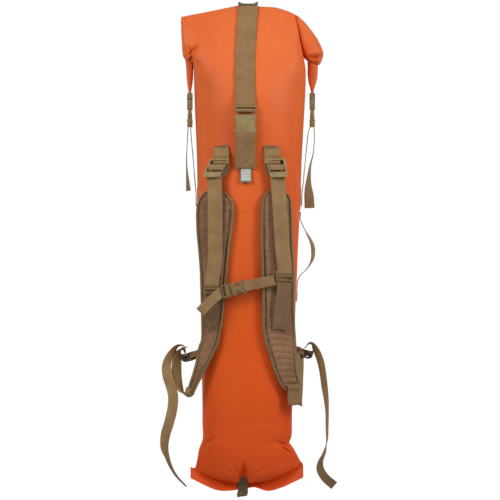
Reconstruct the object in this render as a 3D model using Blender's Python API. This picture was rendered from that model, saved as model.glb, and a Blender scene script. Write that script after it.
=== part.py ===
"""Roll-top waterproof bag with a backpack harness, hung upright by its harness anchors.

Units are metres, +Z is up, +X is to the right when the harness faces the viewer, and the
harness side faces -Y. The origin is midway between the two shoulder-strap anchors, on the
front skin of the bag. The shell is an open tube with a flat welded bottom fin. Its rolled
mouth, the folded ears, the top strap and the upper halves of three buckles lift off it as
one closure. The harness hangs from two ladder locks and swings about their anchor bars.
"""

from math import atan2, cos, pi, radians, sin

import bmesh
import bpy
from mathutils import Matrix, Vector

# ---- driving dimensions -------------------------------------------------------------

# shell: (height, width, depth) of its oval sections, bottom to top
BAG_SECTIONS = [
    (-0.8200, 0.130, 0.0045), (-0.8130, 0.186, 0.0050), (-0.7940, 0.265, 0.0060),
    (-0.7790, 0.280, 0.0120), (-0.7590, 0.276, 0.0340), (-0.7390, 0.258, 0.0580),
    (-0.7190, 0.239, 0.0800), (-0.7000, 0.226, 0.0980), (-0.6750, 0.2235, 0.1150),
    (-0.6150, 0.2235, 0.1350), (-0.5000, 0.230, 0.1500), (-0.3970, 0.234, 0.1650),
    (-0.2980, 0.241, 0.1820), (-0.1980, 0.2475, 0.1960), (-0.0990, 0.2555, 0.2080),
    (0.0000, 0.2605, 0.2200), (0.0990, 0.270, 0.2280), (0.1590, 0.2755, 0.2240),
    (0.2180, 0.280, 0.1960), (0.2580, 0.284, 0.1620), (0.2980, 0.288, 0.1220),
    (0.3370, 0.292, 0.0780), (0.3450, 0.292, 0.0680),
]
BAG_MID_Y = 0.110          # plane of the side seams and of the bottom fin
BAG_LEAN = 0.008           # sideways drift of the section centres per metre of height
OVAL_POWER = 2.3           # 2 is an ellipse, larger is squarer
RING_POINTS = 40
WALL = 0.003
CAVITY_FLOOR_Z = -0.7190
MOUTH_Z = 0.345
DROOP_START_Z = 0.200      # the rolled mouth sags towards its ends above this height
DROOP_LEFT = 0.95
DROOP_RIGHT = 1.60

# rolled collar, seen from its end
ROLL_Y, ROLL_Z = 0.112, 0.3655
ROLL_RADIUS = 0.0185
ROLL_PITCH = 0.0046
ROLL_TURNS = 2.35
COLLAR_THICKNESS = 0.003
COLLAR_X = (-0.165, 0.128)
COLLAR_STEPS = 10

# webbing
WIDE_WEB = 0.0490
SHOULDER_WEB = 0.0365
NARROW_WEB = 0.0250
WEB_THICKNESS = 0.0016
BAR_LEG = 0.0046           # from a bar's centre plane to the webbing that wraps it

# hardware
PLATE = 0.0050             # thickness of a buckle's male half and its bars
PRONG = 0.0240             # how far the male half reaches into the female
MALE_FRAME = 0.0235        # the part of the male half that stays outside
CENTRE_WIDTH = 0.0545
SMALL_WIDTH = 0.0345
BUCKLE_DEPTH = 0.0112
LOCK_BAR = 0.0022          # half thickness of a ladder lock's bars

STRAP_X = -0.0095
CENTRE_MOUTH = Vector((STRAP_X, -0.0145, 0.109))
CENTRE_FEMALE_LENGTH = 0.047

SIDE_X = {"left": -0.1480, "right": 0.1567}
SIDE_MOUTH_Z = 0.1260
SIDE_FEMALE_LENGTH = 0.046

PIVOT_Y = -0.010
HARNESS_AXIS = Vector((0, PIVOT_Y, 0))
LOCK_X = {"left": -0.0820, "right": 0.0680}
ANCHOR_TOP_X = {"left": -0.0720, "right": 0.0570}

STERNUM_TILT = radians(13.5)
STERNUM_STANDOFF = 0.017   # sliders in front of the bag's front line
STERNUM_LIFT = 0.0042      # the buckle's plane in front of the sliders' plane
STERNUM_START = (-0.0679, -0.3270)
STERNUM_FEMALE_LENGTH = 0.0365
SLIDER_X = {"left": -0.0925, "right": 0.0868}
SLIDER_Z = {"left": -0.3240, "right": -0.2930}
SLIDER_HALF = 0.0205

PAD_THICKNESS = 0.012
PAD_YAW = 0.22             # backward slope of the pads towards their outer edges
PAD_INNER_X = 0.035

SIDE_HANDLE_AXIS = Vector((0.1290, 0.1100, -0.2200))
BOTTOM_LOOP_X = -0.0156
BOTTOM_LOOP_Z = -0.8205

# ---- materials ----------------------------------------------------------------------

COATED_FABRIC = ("coated_fabric", (0.74, 0.13, 0.03, 1), 0.48)
WEBBING = ("webbing", (0.29, 0.19, 0.09, 1), 0.85)
PLASTIC = ("buckle_plastic", (0.33, 0.27, 0.15, 1), 0.45)
PAD_FABRIC = ("pad_fabric", (0.25, 0.15, 0.09, 1), 0.90)
LABEL = ("label", (0.80, 0.79, 0.74, 1), 0.80)
STIFFENER = ("stiffener", (0.05, 0.05, 0.05, 1), 0.50)


def material(spec):
    """The Principled material of that name, made once."""
    name, colour, roughness = spec
    found = bpy.data.materials.get(name)
    if found:
        return found
    made = bpy.data.materials.new(name)
    made.use_nodes = True
    shader = made.node_tree.nodes["Principled BSDF"]
    shader.inputs["Base Color"].default_value = colour
    shader.inputs["Roughness"].default_value = roughness
    shader.inputs["Metallic"].default_value = 0.0
    return made


def clear_scene():
    for old in list(bpy.data.objects):
        bpy.data.objects.remove(old, do_unlink=True)


# ---- mesh helpers -------------------------------------------------------------------


def add_object(name, bm, spec, matrix=None):
    """Turn a bmesh into a named object with outward faces."""
    bmesh.ops.recalc_face_normals(bm, faces=bm.faces)
    mesh = bpy.data.meshes.new(name)
    bm.to_mesh(mesh)
    bm.free()
    mesh.materials.append(material(spec))
    made = bpy.data.objects.new(name, mesh)
    if matrix is not None:
        made.matrix_world = matrix
    bpy.context.scene.collection.objects.link(made)
    return made


def skin_rings(rings, close_start=True, close_end=True):
    """A bmesh that joins equal rings of points one after another."""
    bm = bmesh.new()
    loops = [[bm.verts.new(point) for point in ring] for ring in rings]
    count = len(loops[0])
    for low, high in zip(loops, loops[1:]):
        for i in range(count):
            j = (i + 1) % count
            bm.faces.new((low[i], low[j], high[j], high[i]))
    if close_start:
        bm.faces.new(loops[0])
    if close_end:
        bm.faces.new(loops[-1])
    return bm


def smooth_through(points, steps):
    """Points on a Catmull-Rom curve through the given ones, steps per span."""
    line = [Vector(p) for p in points]
    line = [2 * line[0] - line[1]] + line + [2 * line[-1] - line[-2]]
    out = []
    for a, b, c, d in zip(line, line[1:], line[2:], line[3:]):
        for k in range(steps):
            t = k / steps
            out.append(
                0.5
                * (
                    2 * b
                    + (c - a) * t
                    + (2 * a - 5 * b + 4 * c - d) * t * t
                    + (3 * b - a - 3 * c + d) * t * t * t
                )
            )
    out.append(line[-2])
    return out


def ribbon(name, centres, across, width, thickness, spec):
    """A flat strap along centres. across is one width direction, or one for each centre."""
    centres = [Vector(p) for p in centres]
    if isinstance(across, Vector):
        across = [across] * len(centres)
    rings = []
    for i, centre in enumerate(centres):
        ahead = centres[min(i + 1, len(centres) - 1)]
        behind = centres[max(i - 1, 0)]
        along = (ahead - behind).normalized()
        side = (across[i] - along * across[i].dot(along)).normalized()
        out = along.cross(side).normalized()
        w = side * (width / 2)
        t = out * (thickness / 2)
        rings.append([centre - w - t, centre + w - t, centre + w + t, centre - w + t])
    return add_object(name, skin_rings(rings), spec)


def loose_strap(name, route, twist, width, spec, steps=5):
    """A strap that hangs free along a smooth route, turning as its width directions say."""
    centres = smooth_through(route, steps)
    across = smooth_through(twist, steps)
    return ribbon(name, centres, across, width, WEB_THICKNESS, spec)


def outline_solid(name, outline, thickness, matrix, spec):
    """A plate of the given (u, v) outline, centred on its own w = 0 plane."""
    bm = bmesh.new()
    base = bm.faces.new([bm.verts.new((u, v, -thickness / 2)) for u, v in outline])
    lifted = bmesh.ops.extrude_face_region(bm, geom=[base])
    moved = [item for item in lifted["geom"] if isinstance(item, bmesh.types.BMVert)]
    bmesh.ops.translate(bm, verts=moved, vec=(0, 0, thickness))
    return add_object(name, bm, spec, matrix)


def cut(piece, boxes):
    """Take boxes, given as low and high corners in the piece's own frame, out of it."""
    for number, (low, high) in enumerate(boxes):
        name = f"{piece.name}_cutter_{number}"
        size = Vector(high) - Vector(low)
        middle = (Vector(high) + Vector(low)) / 2
        bm = bmesh.new()
        place = Matrix.Translation(middle) @ Matrix.Diagonal((*size, 1))
        bmesh.ops.create_cube(bm, size=1, matrix=place)
        mesh = bpy.data.meshes.new(name)
        bm.to_mesh(mesh)
        bm.free()
        cutter = bpy.data.objects.new(name, mesh)
        cutter.matrix_world = piece.matrix_world
        cutter.display_type = "WIRE"
        cutter.hide_render = True
        bpy.context.scene.collection.objects.link(cutter)
        hole = piece.modifiers.new(name, "BOOLEAN")
        hole.operation = "DIFFERENCE"
        hole.solver = "EXACT"
        hole.object = cutter


def put_origin(piece, point):
    """Move a piece's origin onto its joint's axis without moving its shape."""
    piece.data.transform(Matrix.Translation(-Vector(point)))
    piece.matrix_world = Matrix.Translation(Vector(point))


def frame_at(origin, u, v):
    """A matrix whose X runs along u and whose Y runs along v."""
    u = Vector(u).normalized()
    v = (Vector(v) - u * Vector(v).dot(u)).normalized()
    w = u.cross(v)
    turn = Matrix((u, v, w)).transposed().to_4x4()
    return Matrix.Translation(Vector(origin)) @ turn


def turn_about(centre_y, centre_z, radius, start, stop, steps, x):
    """Points on an arc in the YZ plane, angles in degrees from +Y towards +Z."""
    out = []
    for k in range(steps + 1):
        angle = radians(start + (stop - start) * k / steps)
        out.append(Vector((x, centre_y + radius * cos(angle), centre_z + radius * sin(angle))))
    return out


# ---- the bag's surface --------------------------------------------------------------


def section_at(z):
    """Width and depth of the shell at a height, eased between its sections."""
    rows = BAG_SECTIONS
    z = min(max(z, rows[0][0]), rows[-1][0])
    for (z0, w0, d0), (z1, w1, d1) in zip(rows, rows[1:]):
        if z <= z1:
            t = (z - z0) / (z1 - z0)
            return w0 + (w1 - w0) * t, d0 + (d1 - d0) * t
    return rows[-1][1], rows[-1][2]


def front_line(z):
    """Y of the bag's front skin on its centre line."""
    return BAG_MID_Y - section_at(z)[1] / 2


def front_skin(x, z):
    """Y of the bag's front skin at any point of it."""
    width, depth = section_at(z)
    across = min(abs(x - BAG_LEAN * z) / (width / 2), 1.0)
    return BAG_MID_Y - depth / 2 * (1 - across**OVAL_POWER) ** (1 / OVAL_POWER)


def side_face(z, side):
    """X of the bag's skin at its side seam."""
    half = section_at(z)[0] / 2
    return BAG_LEAN * z + (half if side == "right" else -half)


def droop(x, z):
    """How far the mouth sags below its middle, fading out down the bag."""
    fade = min(max((z - DROOP_START_Z) / (MOUTH_Z - DROOP_START_Z), 0.0), 1.0)
    return (DROOP_RIGHT if x > 0 else DROOP_LEFT) * x * x * fade * fade


def oval_ring(z, inset=0.0):
    """One horizontal section of the shell, drawn in by inset."""
    width, depth = section_at(z)
    a = width / 2 - inset
    b = depth / 2 - inset
    ring = []
    for k in range(RING_POINTS):
        angle = 2 * pi * k / RING_POINTS
        cx, cy = cos(angle), sin(angle)
        x = a * abs(cx) ** (2 / OVAL_POWER) * (1 if cx >= 0 else -1) + BAG_LEAN * z
        y = b * abs(cy) ** (2 / OVAL_POWER) * (1 if cy >= 0 else -1) + BAG_MID_Y
        ring.append(Vector((x, y, z - droop(x, z))))
    return ring


def make_bag_shell():
    """Open coated-fabric tube, closed below by its flat fin."""
    heights = [row[0] for row in BAG_SECTIONS]
    rings = [oval_ring(z) for z in heights]
    for z in reversed(heights):
        if z >= CAVITY_FLOOR_Z:
            rings.append(oval_ring(z, WALL))
    return add_object("bag_shell", skin_rings(rings), COATED_FABRIC)


# ---- rolled closure -----------------------------------------------------------------


def spiral_section():
    """Centre line of the collar sheet: up the front lip, over the top and rolled inwards."""
    line = [(0.0795, MOUTH_Z + 0.0024), (0.0870, 0.3530)]
    steps = 30
    for k in range(steps + 1):
        turned = 2 * pi * ROLL_TURNS * k / steps
        radius = ROLL_RADIUS - ROLL_PITCH * turned / (2 * pi)
        angle = radians(200) - turned
        line.append((ROLL_Y + radius * cos(angle), ROLL_Z + radius * sin(angle)))
    return line


def sheet_outline(line, thickness):
    """Closed outline of a sheet that follows a (y, z) centre line."""
    near, far = [], []
    for i, (y, z) in enumerate(line):
        y0, z0 = line[max(i - 1, 0)]
        y1, z1 = line[min(i + 1, len(line) - 1)]
        angle = atan2(z1 - z0, y1 - y0) + pi / 2
        dy, dz = cos(angle) * thickness / 2, sin(angle) * thickness / 2
        near.append((y + dy, z + dz))
        far.append((y - dy, z - dz))
    return near + far[::-1]


def make_rolled_collar():
    """The stiffened mouth, rolled to the back and sagging towards both ends."""
    outline = sheet_outline(spiral_section(), COLLAR_THICKNESS)
    low, high = COLLAR_X
    rings = []
    for k in range(COLLAR_STEPS + 1):
        x = low + (high - low) * k / COLLAR_STEPS
        sag = droop(x, MOUTH_Z)
        rings.append([Vector((x, y, z - sag)) for y, z in outline])
    add_object("rolled_collar", skin_rings(rings), COATED_FABRIC)


def make_stiffener():
    """The flexible strip that the collar is rolled around."""
    half_y, half_z = 0.0014, 0.0042
    low, high = COLLAR_X[0] + 0.006, COLLAR_X[1] - 0.006
    rings = []
    for k in range(COLLAR_STEPS + 1):
        x = low + (high - low) * k / COLLAR_STEPS
        z = ROLL_Z - droop(x, MOUTH_Z)
        corners = [(-half_y, -half_z), (half_y, -half_z), (half_y, half_z), (-half_y, half_z)]
        rings.append([Vector((x, ROLL_Y + y, z + dz)) for y, dz in corners])
    add_object("closure_stiffener", skin_rings(rings), STIFFENER)


def pillow_ring(z, x0, x1, y0, y1, points=16):
    """A soft-cornered rectangle at one height."""
    ring = []
    for k in range(points):
        angle = 2 * pi * k / points
        cx, cy = cos(angle), sin(angle)
        x = (x0 + x1) / 2 + (x1 - x0) / 2 * abs(cx) ** 0.6 * (1 if cx >= 0 else -1)
        y = (y0 + y1) / 2 + (y1 - y0) / 2 * abs(cy) ** 0.6 * (1 if cy >= 0 else -1)
        ring.append(Vector((x, y, z)))
    return ring


# (height, inner x, outer x, front y, back y), top to bottom
EAR_SECTIONS = {
    "right": [
        (0.3060, 0.1500, 0.1630, 0.078, 0.148), (0.2850, 0.1500, 0.1760, 0.072, 0.150),
        (0.2680, 0.1500, 0.1830, 0.070, 0.150), (0.2520, 0.1500, 0.1770, 0.076, 0.144),
        (0.2440, 0.1510, 0.1680, 0.086, 0.134),
    ],
    "left": [
        (0.3170, -0.1690, -0.1455, 0.078, 0.148), (0.2950, -0.1690, -0.1455, 0.072, 0.150),
        (0.2730, -0.1680, -0.1455, 0.070, 0.150), (0.2560, -0.1620, -0.1455, 0.078, 0.142),
        (0.2460, -0.1560, -0.1465, 0.090, 0.130),
    ],
}

# (height, inner x, outer x) of the tapered tabs; the last two rows hold the buckle's bar
TAB_SECTIONS = {
    "right": [(0.2437, 0.1515, 0.1700), (0.2150, 0.1510, 0.1640), (0.1880, 0.1527, 0.1607),
              (0.1700, 0.1527, 0.1607)],
    "left": [(0.2457, -0.1570, -0.1465), (0.2150, -0.1545, -0.1440), (0.1880, -0.1520, -0.1440),
             (0.1700, -0.1520, -0.1440)],
}
TAB_HALF_WIDTH = 0.0120


def make_ear(side):
    """The triangular fold at one end of the roll, pulled down over the shell's side."""
    rings = [pillow_ring(*row) for row in EAR_SECTIONS[side]]
    add_object("ear_" + side, skin_rings(rings), COATED_FABRIC)


def make_ear_tab(side):
    """The tapered tab under an ear, with an eye for the buckle's bar."""
    rings = []
    for z, x0, x1 in TAB_SECTIONS[side]:
        y0, y1 = BAG_MID_Y - TAB_HALF_WIDTH, BAG_MID_Y + TAB_HALF_WIDTH
        rings.append([Vector((x0, y0, z)), Vector((x1, y0, z)), Vector((x1, y1, z)),
                      Vector((x0, y1, z))])
    tab = add_object("ear_tab_" + side, skin_rings(rings), COATED_FABRIC)
    z = SIDE_MOUTH_Z + SIDE_FEMALE_LENGTH - 0.0022
    x = SIDE_X[side]
    eye = 0.0028
    cut(tab, [((x - eye, 0, z - eye), (x + eye, 0.3, z + eye))])


# ---- buckles and locks --------------------------------------------------------------


def make_male(name, matrix, width, web):
    """Ladder frame with two side prongs and a guide. +X of its frame points out of the female."""
    half = width / 2 - 0.0008
    prong = width / 2 - 0.0050
    prong_width = 0.0058
    guide = 0.0030
    root = 0.0006
    outline = [
        (MALE_FRAME, -half), (root, -half), (root, -prong), (-PRONG + 0.004, -prong),
        (-PRONG, -prong + 0.0025), (-PRONG, -prong + prong_width), (root, -prong + prong_width),
        (root, -guide), (-PRONG * 0.8, -guide), (-PRONG * 0.8, guide), (root, guide),
        (root, prong - prong_width), (-PRONG, prong - prong_width), (-PRONG, prong - 0.0025),
        (-PRONG + 0.004, prong), (root, prong), (root, half), (MALE_FRAME, half),
    ]
    piece = outline_solid(name, outline, PLATE, matrix, PLASTIC)
    slot = web / 2 + 0.0008
    cut(piece, [
        ((0.0040, -slot, -0.01), (0.0100, slot, 0.01)),
        ((0.0140, -slot, -0.01), (0.0200, slot, 0.01)),
    ])
    return piece


def make_female(name, matrix, width, length, web):
    """Housing with an open mouth, side windows and a bar for webbing. Its mouth faces +X."""
    half = width / 2
    waist = half - 0.0012
    outline = [
        (0, -half + 0.002), (0, half - 0.002), (-0.003, half), (-length * 0.45, waist),
        (-length + 0.003, half), (-length, half - 0.002), (-length, -half + 0.002),
        (-length + 0.003, -half), (-length * 0.45, -waist), (-0.003, -half),
    ]
    piece = outline_solid(name, outline, BUCKLE_DEPTH, matrix, PLASTIC)
    inner = half - 0.0046
    gap = PLATE / 2 + 0.0003
    slot = web / 2 + 0.0008
    bar_zone = -length + 0.0120
    cut(piece, [
        ((-PRONG - 0.0015, -inner, -gap), (0.01, inner, gap)),
        ((-0.0190, -0.1, -gap + 0.0002), (-0.0060, 0.1, gap - 0.0002)),
        ((-length + 0.0044, -slot, -0.02), (bar_zone - 0.0010, slot, 0.02)),
        ((-0.1, -0.1, PLATE / 2), (bar_zone, 0.1, 0.02)),
        ((-0.1, -0.1, -0.02), (bar_zone, 0.1, -PLATE / 2)),
    ])
    return piece


def make_ladder_lock(name, matrix, width, length):
    """Two-slot lock with a lip. X runs from its anchor bar to its lip, Z points to the bag."""
    half = width / 2
    knee = length * 0.66
    profile = [
        (-LOCK_BAR, -LOCK_BAR), (knee, -LOCK_BAR), (length - 0.002, -0.0070),
        (length, -0.0048), (knee + 0.003, LOCK_BAR), (-LOCK_BAR, LOCK_BAR),
    ]
    rings = [[Vector((u, v, w)) for u, w in profile] for v in (-half, half)]
    piece = add_object(name, skin_rings(rings), PLASTIC, matrix)
    slot = half - 0.0040
    first = length * 0.29
    second = length * 0.42
    cut(piece, [
        ((LOCK_BAR, -slot, -0.02), (first, slot, 0.02)),
        ((second, -slot, -0.02), (knee - 0.0005, slot, 0.02)),
    ])
    return piece


# ---- straps of the closure ----------------------------------------------------------


def make_top_strap():
    """From the middle buckle up the front, over the roll, sewn to the roll's back."""
    x = STRAP_X
    bar_z = CENTRE_MOUTH.z + 0.0120
    y = CENTRE_MOUTH.y
    path = [Vector((x, y - BAR_LEG, bar_z + 0.0055))]
    path += turn_about(y, bar_z, BAR_LEG, 180, 360, 8, x)
    path.append(Vector((x, y + BAR_LEG, bar_z + 0.0170)))
    for z in (0.159, 0.190, 0.218, 0.258, 0.298, 0.325):
        path.append(Vector((x, front_line(z) - 0.0040, z)))
    path.append(Vector((x, 0.0752, 0.3480)))
    path += turn_about(ROLL_Y, ROLL_Z, ROLL_RADIUS + 0.0034, 192, -38, 12, x)
    ribbon("top_strap", path, Vector((1, 0, 0)), WIDE_WEB, WEB_THICKNESS, WEBBING)


def make_top_keeper():
    """Short folded keeper sewn across the strap where it crosses the roll."""
    path = turn_about(ROLL_Y, ROLL_Z, ROLL_RADIUS + 0.0058, 118, 62, 5, STRAP_X)
    ribbon("top_keeper", path, Vector((1, 0, 0)), 0.0550, 0.0018, WEBBING)


def make_centre_strap():
    """Lower strap: sewn to the bag below, looped round the female buckle's bar above."""
    x = STRAP_X
    y = CENTRE_MOUTH.y
    bar_z = CENTRE_MOUTH.z - CENTRE_FEMALE_LENGTH + 0.0022
    path = [Vector((x, y - BAR_LEG, bar_z - 0.0140))]
    path += turn_about(y, bar_z, BAR_LEG, 180, 0, 8, x)
    path.append(Vector((x, y + BAR_LEG, bar_z - 0.0100)))
    path.append(Vector((x, front_line(0.035) - 0.0040, 0.035)))
    path.append(Vector((x, front_line(0.010) - 0.0030, 0.010)))
    path.append(Vector((x, front_line(-0.022) - 0.0030, -0.022)))
    ribbon("centre_strap", path, Vector((1, 0, 0)), WIDE_WEB - 0.001, WEB_THICKNESS, WEBBING)


def make_name_tag():
    """Blank woven tag under the lower strap's sewn end."""
    low, high = -0.0570, -0.0226
    x = STRAP_X + 0.0010
    y = front_line(low) - 0.0070
    outline = [(x - 0.015, low), (x + 0.015, low), (x + 0.015, high), (x - 0.015, high)]
    place = frame_at((0, y, 0), (1, 0, 0), (0, 0, 1))
    outline_solid("name_tag", outline, 0.0016, place, LABEL)


def side_sign(side):
    return 1 if side == "right" else -1


def make_side_closure(side):
    """One side buckle with its lower strap, loose tail and the patch it is sewn to."""
    sign = side_sign(side)
    x = SIDE_X[side]
    mouth = Vector((x, BAG_MID_Y, SIDE_MOUTH_Z))
    up = frame_at(mouth, (0, 0, -1), (0, 1, 0))
    make_male("side_buckle_male_" + side, up, SMALL_WIDTH, NARROW_WEB)
    make_female("side_buckle_female_" + side, up, SMALL_WIDTH, SIDE_FEMALE_LENGTH, NARROW_WEB)

    across = Vector((0, 1, 0))
    bar_z = SIDE_MOUTH_Z - 0.0120
    skin = 0.0036
    path = []
    for k in range(9):
        angle = pi * k / 8
        path.append(Vector((x + sign * BAR_LEG * cos(angle), BAG_MID_Y, bar_z + BAR_LEG * sin(angle))))
    path.insert(0, Vector((x + sign * BAR_LEG, BAG_MID_Y, bar_z - 0.0150)))
    path.append(Vector((x - sign * BAR_LEG, BAG_MID_Y, bar_z - 0.0150)))
    path.append(Vector((side_face(0.03, side) + sign * 0.011, BAG_MID_Y, 0.030)))
    path.append(Vector((side_face(-0.05, side) + sign * 0.0065, BAG_MID_Y, -0.050)))
    path.append(Vector((side_face(-0.085, side) + sign * skin, BAG_MID_Y, -0.085)))
    path.append(Vector((side_face(-0.115, side) + sign * skin, BAG_MID_Y, -0.115)))
    ribbon("side_strap_" + side, path, across, NARROW_WEB - 0.001, WEB_THICKNESS, WEBBING)

    patch = []
    for z in (-0.068, -0.096, -0.124):
        patch.append(Vector((side_face(z, side) + sign * 0.0014, BAG_MID_Y, z)))
    ribbon("side_patch_" + side, patch, across, 0.040, 0.0016, COATED_FABRIC)


# free ends of the side straps: centre points, and the direction of the strap's width there
SIDE_TAILS = {
    "right": (
        [(0.1608, 0.110, 0.0987), (0.1612, 0.110, 0.080), (0.1618, 0.109, 0.055),
         (0.1606, 0.108, 0.030), (0.1575, 0.107, 0.010), (0.1520, 0.106, -0.012),
         (0.1485, 0.105, -0.040), (0.1470, 0.104, -0.065), (0.1485, 0.103, -0.090),
         (0.1500, 0.102, -0.119)],
        [(0, 1, 0), (0, 1, 0), (0, 1, 0), (0.02, 1, 0), (0.05, 1, 0), (0.15, 1, 0),
         (0.35, 0.93, 0), (0.65, 0.75, 0), (0.95, 0.30, 0), (1, 0.10, 0)],
    ),
    "left": (
        [(-0.1521, 0.110, 0.0987), (-0.1526, 0.110, 0.080), (-0.1538, 0.109, 0.055),
         (-0.1552, 0.109, 0.030), (-0.1560, 0.108, 0.005), (-0.1556, 0.108, -0.020),
         (-0.1540, 0.107, -0.045), (-0.1515, 0.106, -0.076)],
        [(0, 1, 0), (0, 1, 0), (0, 1, 0), (-0.02, 1, 0), (-0.05, 1, 0), (-0.10, 1, 0),
         (-0.25, 0.95, 0), (-0.45, 0.88, 0)],
    ),
}


def make_side_tail(side):
    route, twist = SIDE_TAILS[side]
    loose_strap("side_tail_" + side, route, twist, NARROW_WEB, WEBBING)


# ---- harness ------------------------------------------------------------------------


def make_upper_anchor(side):
    """Webbing sewn to the bag that holds a ladder lock's anchor bar, around the swing axis."""
    sign = side_sign(side)
    x = LOCK_X[side]
    top_x = ANCHOR_TOP_X[side]
    leg = 0.0046
    path = [Vector((x * 0.5 + top_x * 0.5, PIVOT_Y - 0.0032, 0.0180))]
    path.append(Vector((x, PIVOT_Y - leg, 0.0060)))
    path += turn_about(PIVOT_Y, 0, leg, 180, 360, 8, x)
    path.append(Vector((x, PIVOT_Y + leg, 0.0060)))
    path.append(Vector((x * 0.5 + top_x * 0.5, PIVOT_Y + leg + 0.0025, 0.0180)))
    path.append(Vector((top_x, front_skin(top_x, 0.034) - 0.0020, 0.0340)))
    turned = Vector((1, sign * 0.33, 0)).normalized()
    flat = Vector((1, 0, 0))
    across = [flat] * (len(path) - 2) + [(flat + turned) / 2, turned]
    ribbon("upper_anchor_" + side, path, across, SHOULDER_WEB, WEB_THICKNESS, WEBBING)


# centre x, height and half width of each pad, top to bottom
PAD_STATIONS = {
    "left": [
        (-0.0760, -0.0785, 0.0200), (-0.0810, -0.0930, 0.0370), (-0.0838, -0.1190, 0.0458),
        (-0.0863, -0.1736, 0.0434), (-0.0875, -0.2232, 0.0380), (-0.0883, -0.2852, 0.0325),
        (-0.0905, -0.3472, 0.0288), (-0.0925, -0.3968, 0.0256), (-0.0970, -0.4464, 0.0213),
        (-0.1061, -0.4712, 0.0196), (-0.1215, -0.5158, 0.0137), (-0.1359, -0.5506, 0.0104),
        (-0.1476, -0.5803, 0.0087),
    ],
    "right": [
        (0.0690, -0.0760, 0.0200), (0.0675, -0.0930, 0.0330), (0.0675, -0.1190, 0.0372),
        (0.0677, -0.1980, 0.0387), (0.0709, -0.2780, 0.0394), (0.0719, -0.3570, 0.0384),
        (0.0737, -0.4216, 0.0392), (0.0818, -0.4710, 0.0340), (0.0898, -0.5158, 0.0285),
        (0.0985, -0.5456, 0.0236), (0.1096, -0.5654, 0.0186),
    ],
}


def pad_back(x, z):
    """Y of a pad's back face: close to the bag inside, sloping back outwards."""
    return front_line(z) - 0.0010 + PAD_YAW * (abs(x) - PAD_INNER_X)


def make_shoulder_pad(side):
    """Foam pad with rounded edges, thinner towards both ends."""
    stations = smooth_through([(x, h, z) for x, z, h in PAD_STATIONS[side]], 2)
    rings = []
    for i, (x, half, z) in enumerate(stations):
        ends = min(i, len(stations) - 1 - i)
        thick = PAD_THICKNESS * min(0.62 + 0.13 * ends, 1.0)
        ahead = stations[min(i + 1, len(stations) - 1)]
        behind = stations[max(i - 1, 0)]
        drift = (ahead[0] - behind[0]) / max(behind[2] - ahead[2], 1e-6)
        ring = []
        for k in range(14):
            angle = 2 * pi * k / 14
            cx, cy = cos(angle), sin(angle)
            u = half * abs(cx) ** 0.5 * (1 if cx >= 0 else -1)
            v = thick / 2 * abs(cy) ** 0.6 * (1 if cy >= 0 else -1)
            px = x + u
            pz = z + u * drift * 0.55
            ring.append(Vector((px, pad_back(px, z) - thick / 2 + v, pz)))
        rings.append(ring)
    pad = add_object("shoulder_pad_" + side, skin_rings(rings), PAD_FABRIC)
    put_origin(pad, HARNESS_AXIS)


# free part of the shoulder webbing below its lock: x, height, distance in front of the bag
SHOULDER_ROUTES = {
    "left": [(-0.0822, -0.0450, 0.0095), (-0.0830, -0.0900, 0.0135), (-0.0838, -0.1500, 0.0155),
             (-0.0845, -0.2000, 0.0165), (-0.0850, -0.2450, 0.0170), (-0.0872, -0.2680, 0.0170),
             (-0.0925, -0.2920, 0.0170), (-0.0925, -0.3200, 0.0170), (-0.0925, -0.3520, 0.0170),
             (-0.0930, -0.3800, 0.0170), (-0.0952, -0.4000, 0.0110), (-0.0975, -0.4180, 0.0048)],
    "right": [(0.0690, -0.0450, 0.0095), (0.0735, -0.0900, 0.0135), (0.0775, -0.1500, 0.0160),
              (0.0810, -0.2000, 0.0165), (0.0845, -0.2350, 0.0170), (0.0868, -0.2600, 0.0170),
              (0.0868, -0.2900, 0.0170), (0.0868, -0.3220, 0.0170), (0.0835, -0.3550, 0.0170),
              (0.0785, -0.3900, 0.0120), (0.0750, -0.4190, 0.0090)],
}


def make_shoulder_webbing(side):
    """Wraps the lock's middle bar, hangs over the pad and is sewn down on it."""
    x = LOCK_X[side]
    bar_z = -0.0142
    leg = 0.0047
    path = [Vector((x, PIVOT_Y - leg, bar_z - 0.0075))]
    path += turn_about(PIVOT_Y, bar_z, leg, 180, 0, 8, x)
    path.append(Vector((x, PIVOT_Y + leg, bar_z - 0.0180)))
    points = [(px, front_line(z) - gap, z) for px, z, gap in SHOULDER_ROUTES[side]]
    path += smooth_through(points, 2)
    name = "shoulder_webbing_" + side
    strap = ribbon(name, path, Vector((1, 0, 0)), SHOULDER_WEB, WEB_THICKNESS, WEBBING)
    put_origin(strap, HARNESS_AXIS)


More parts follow.
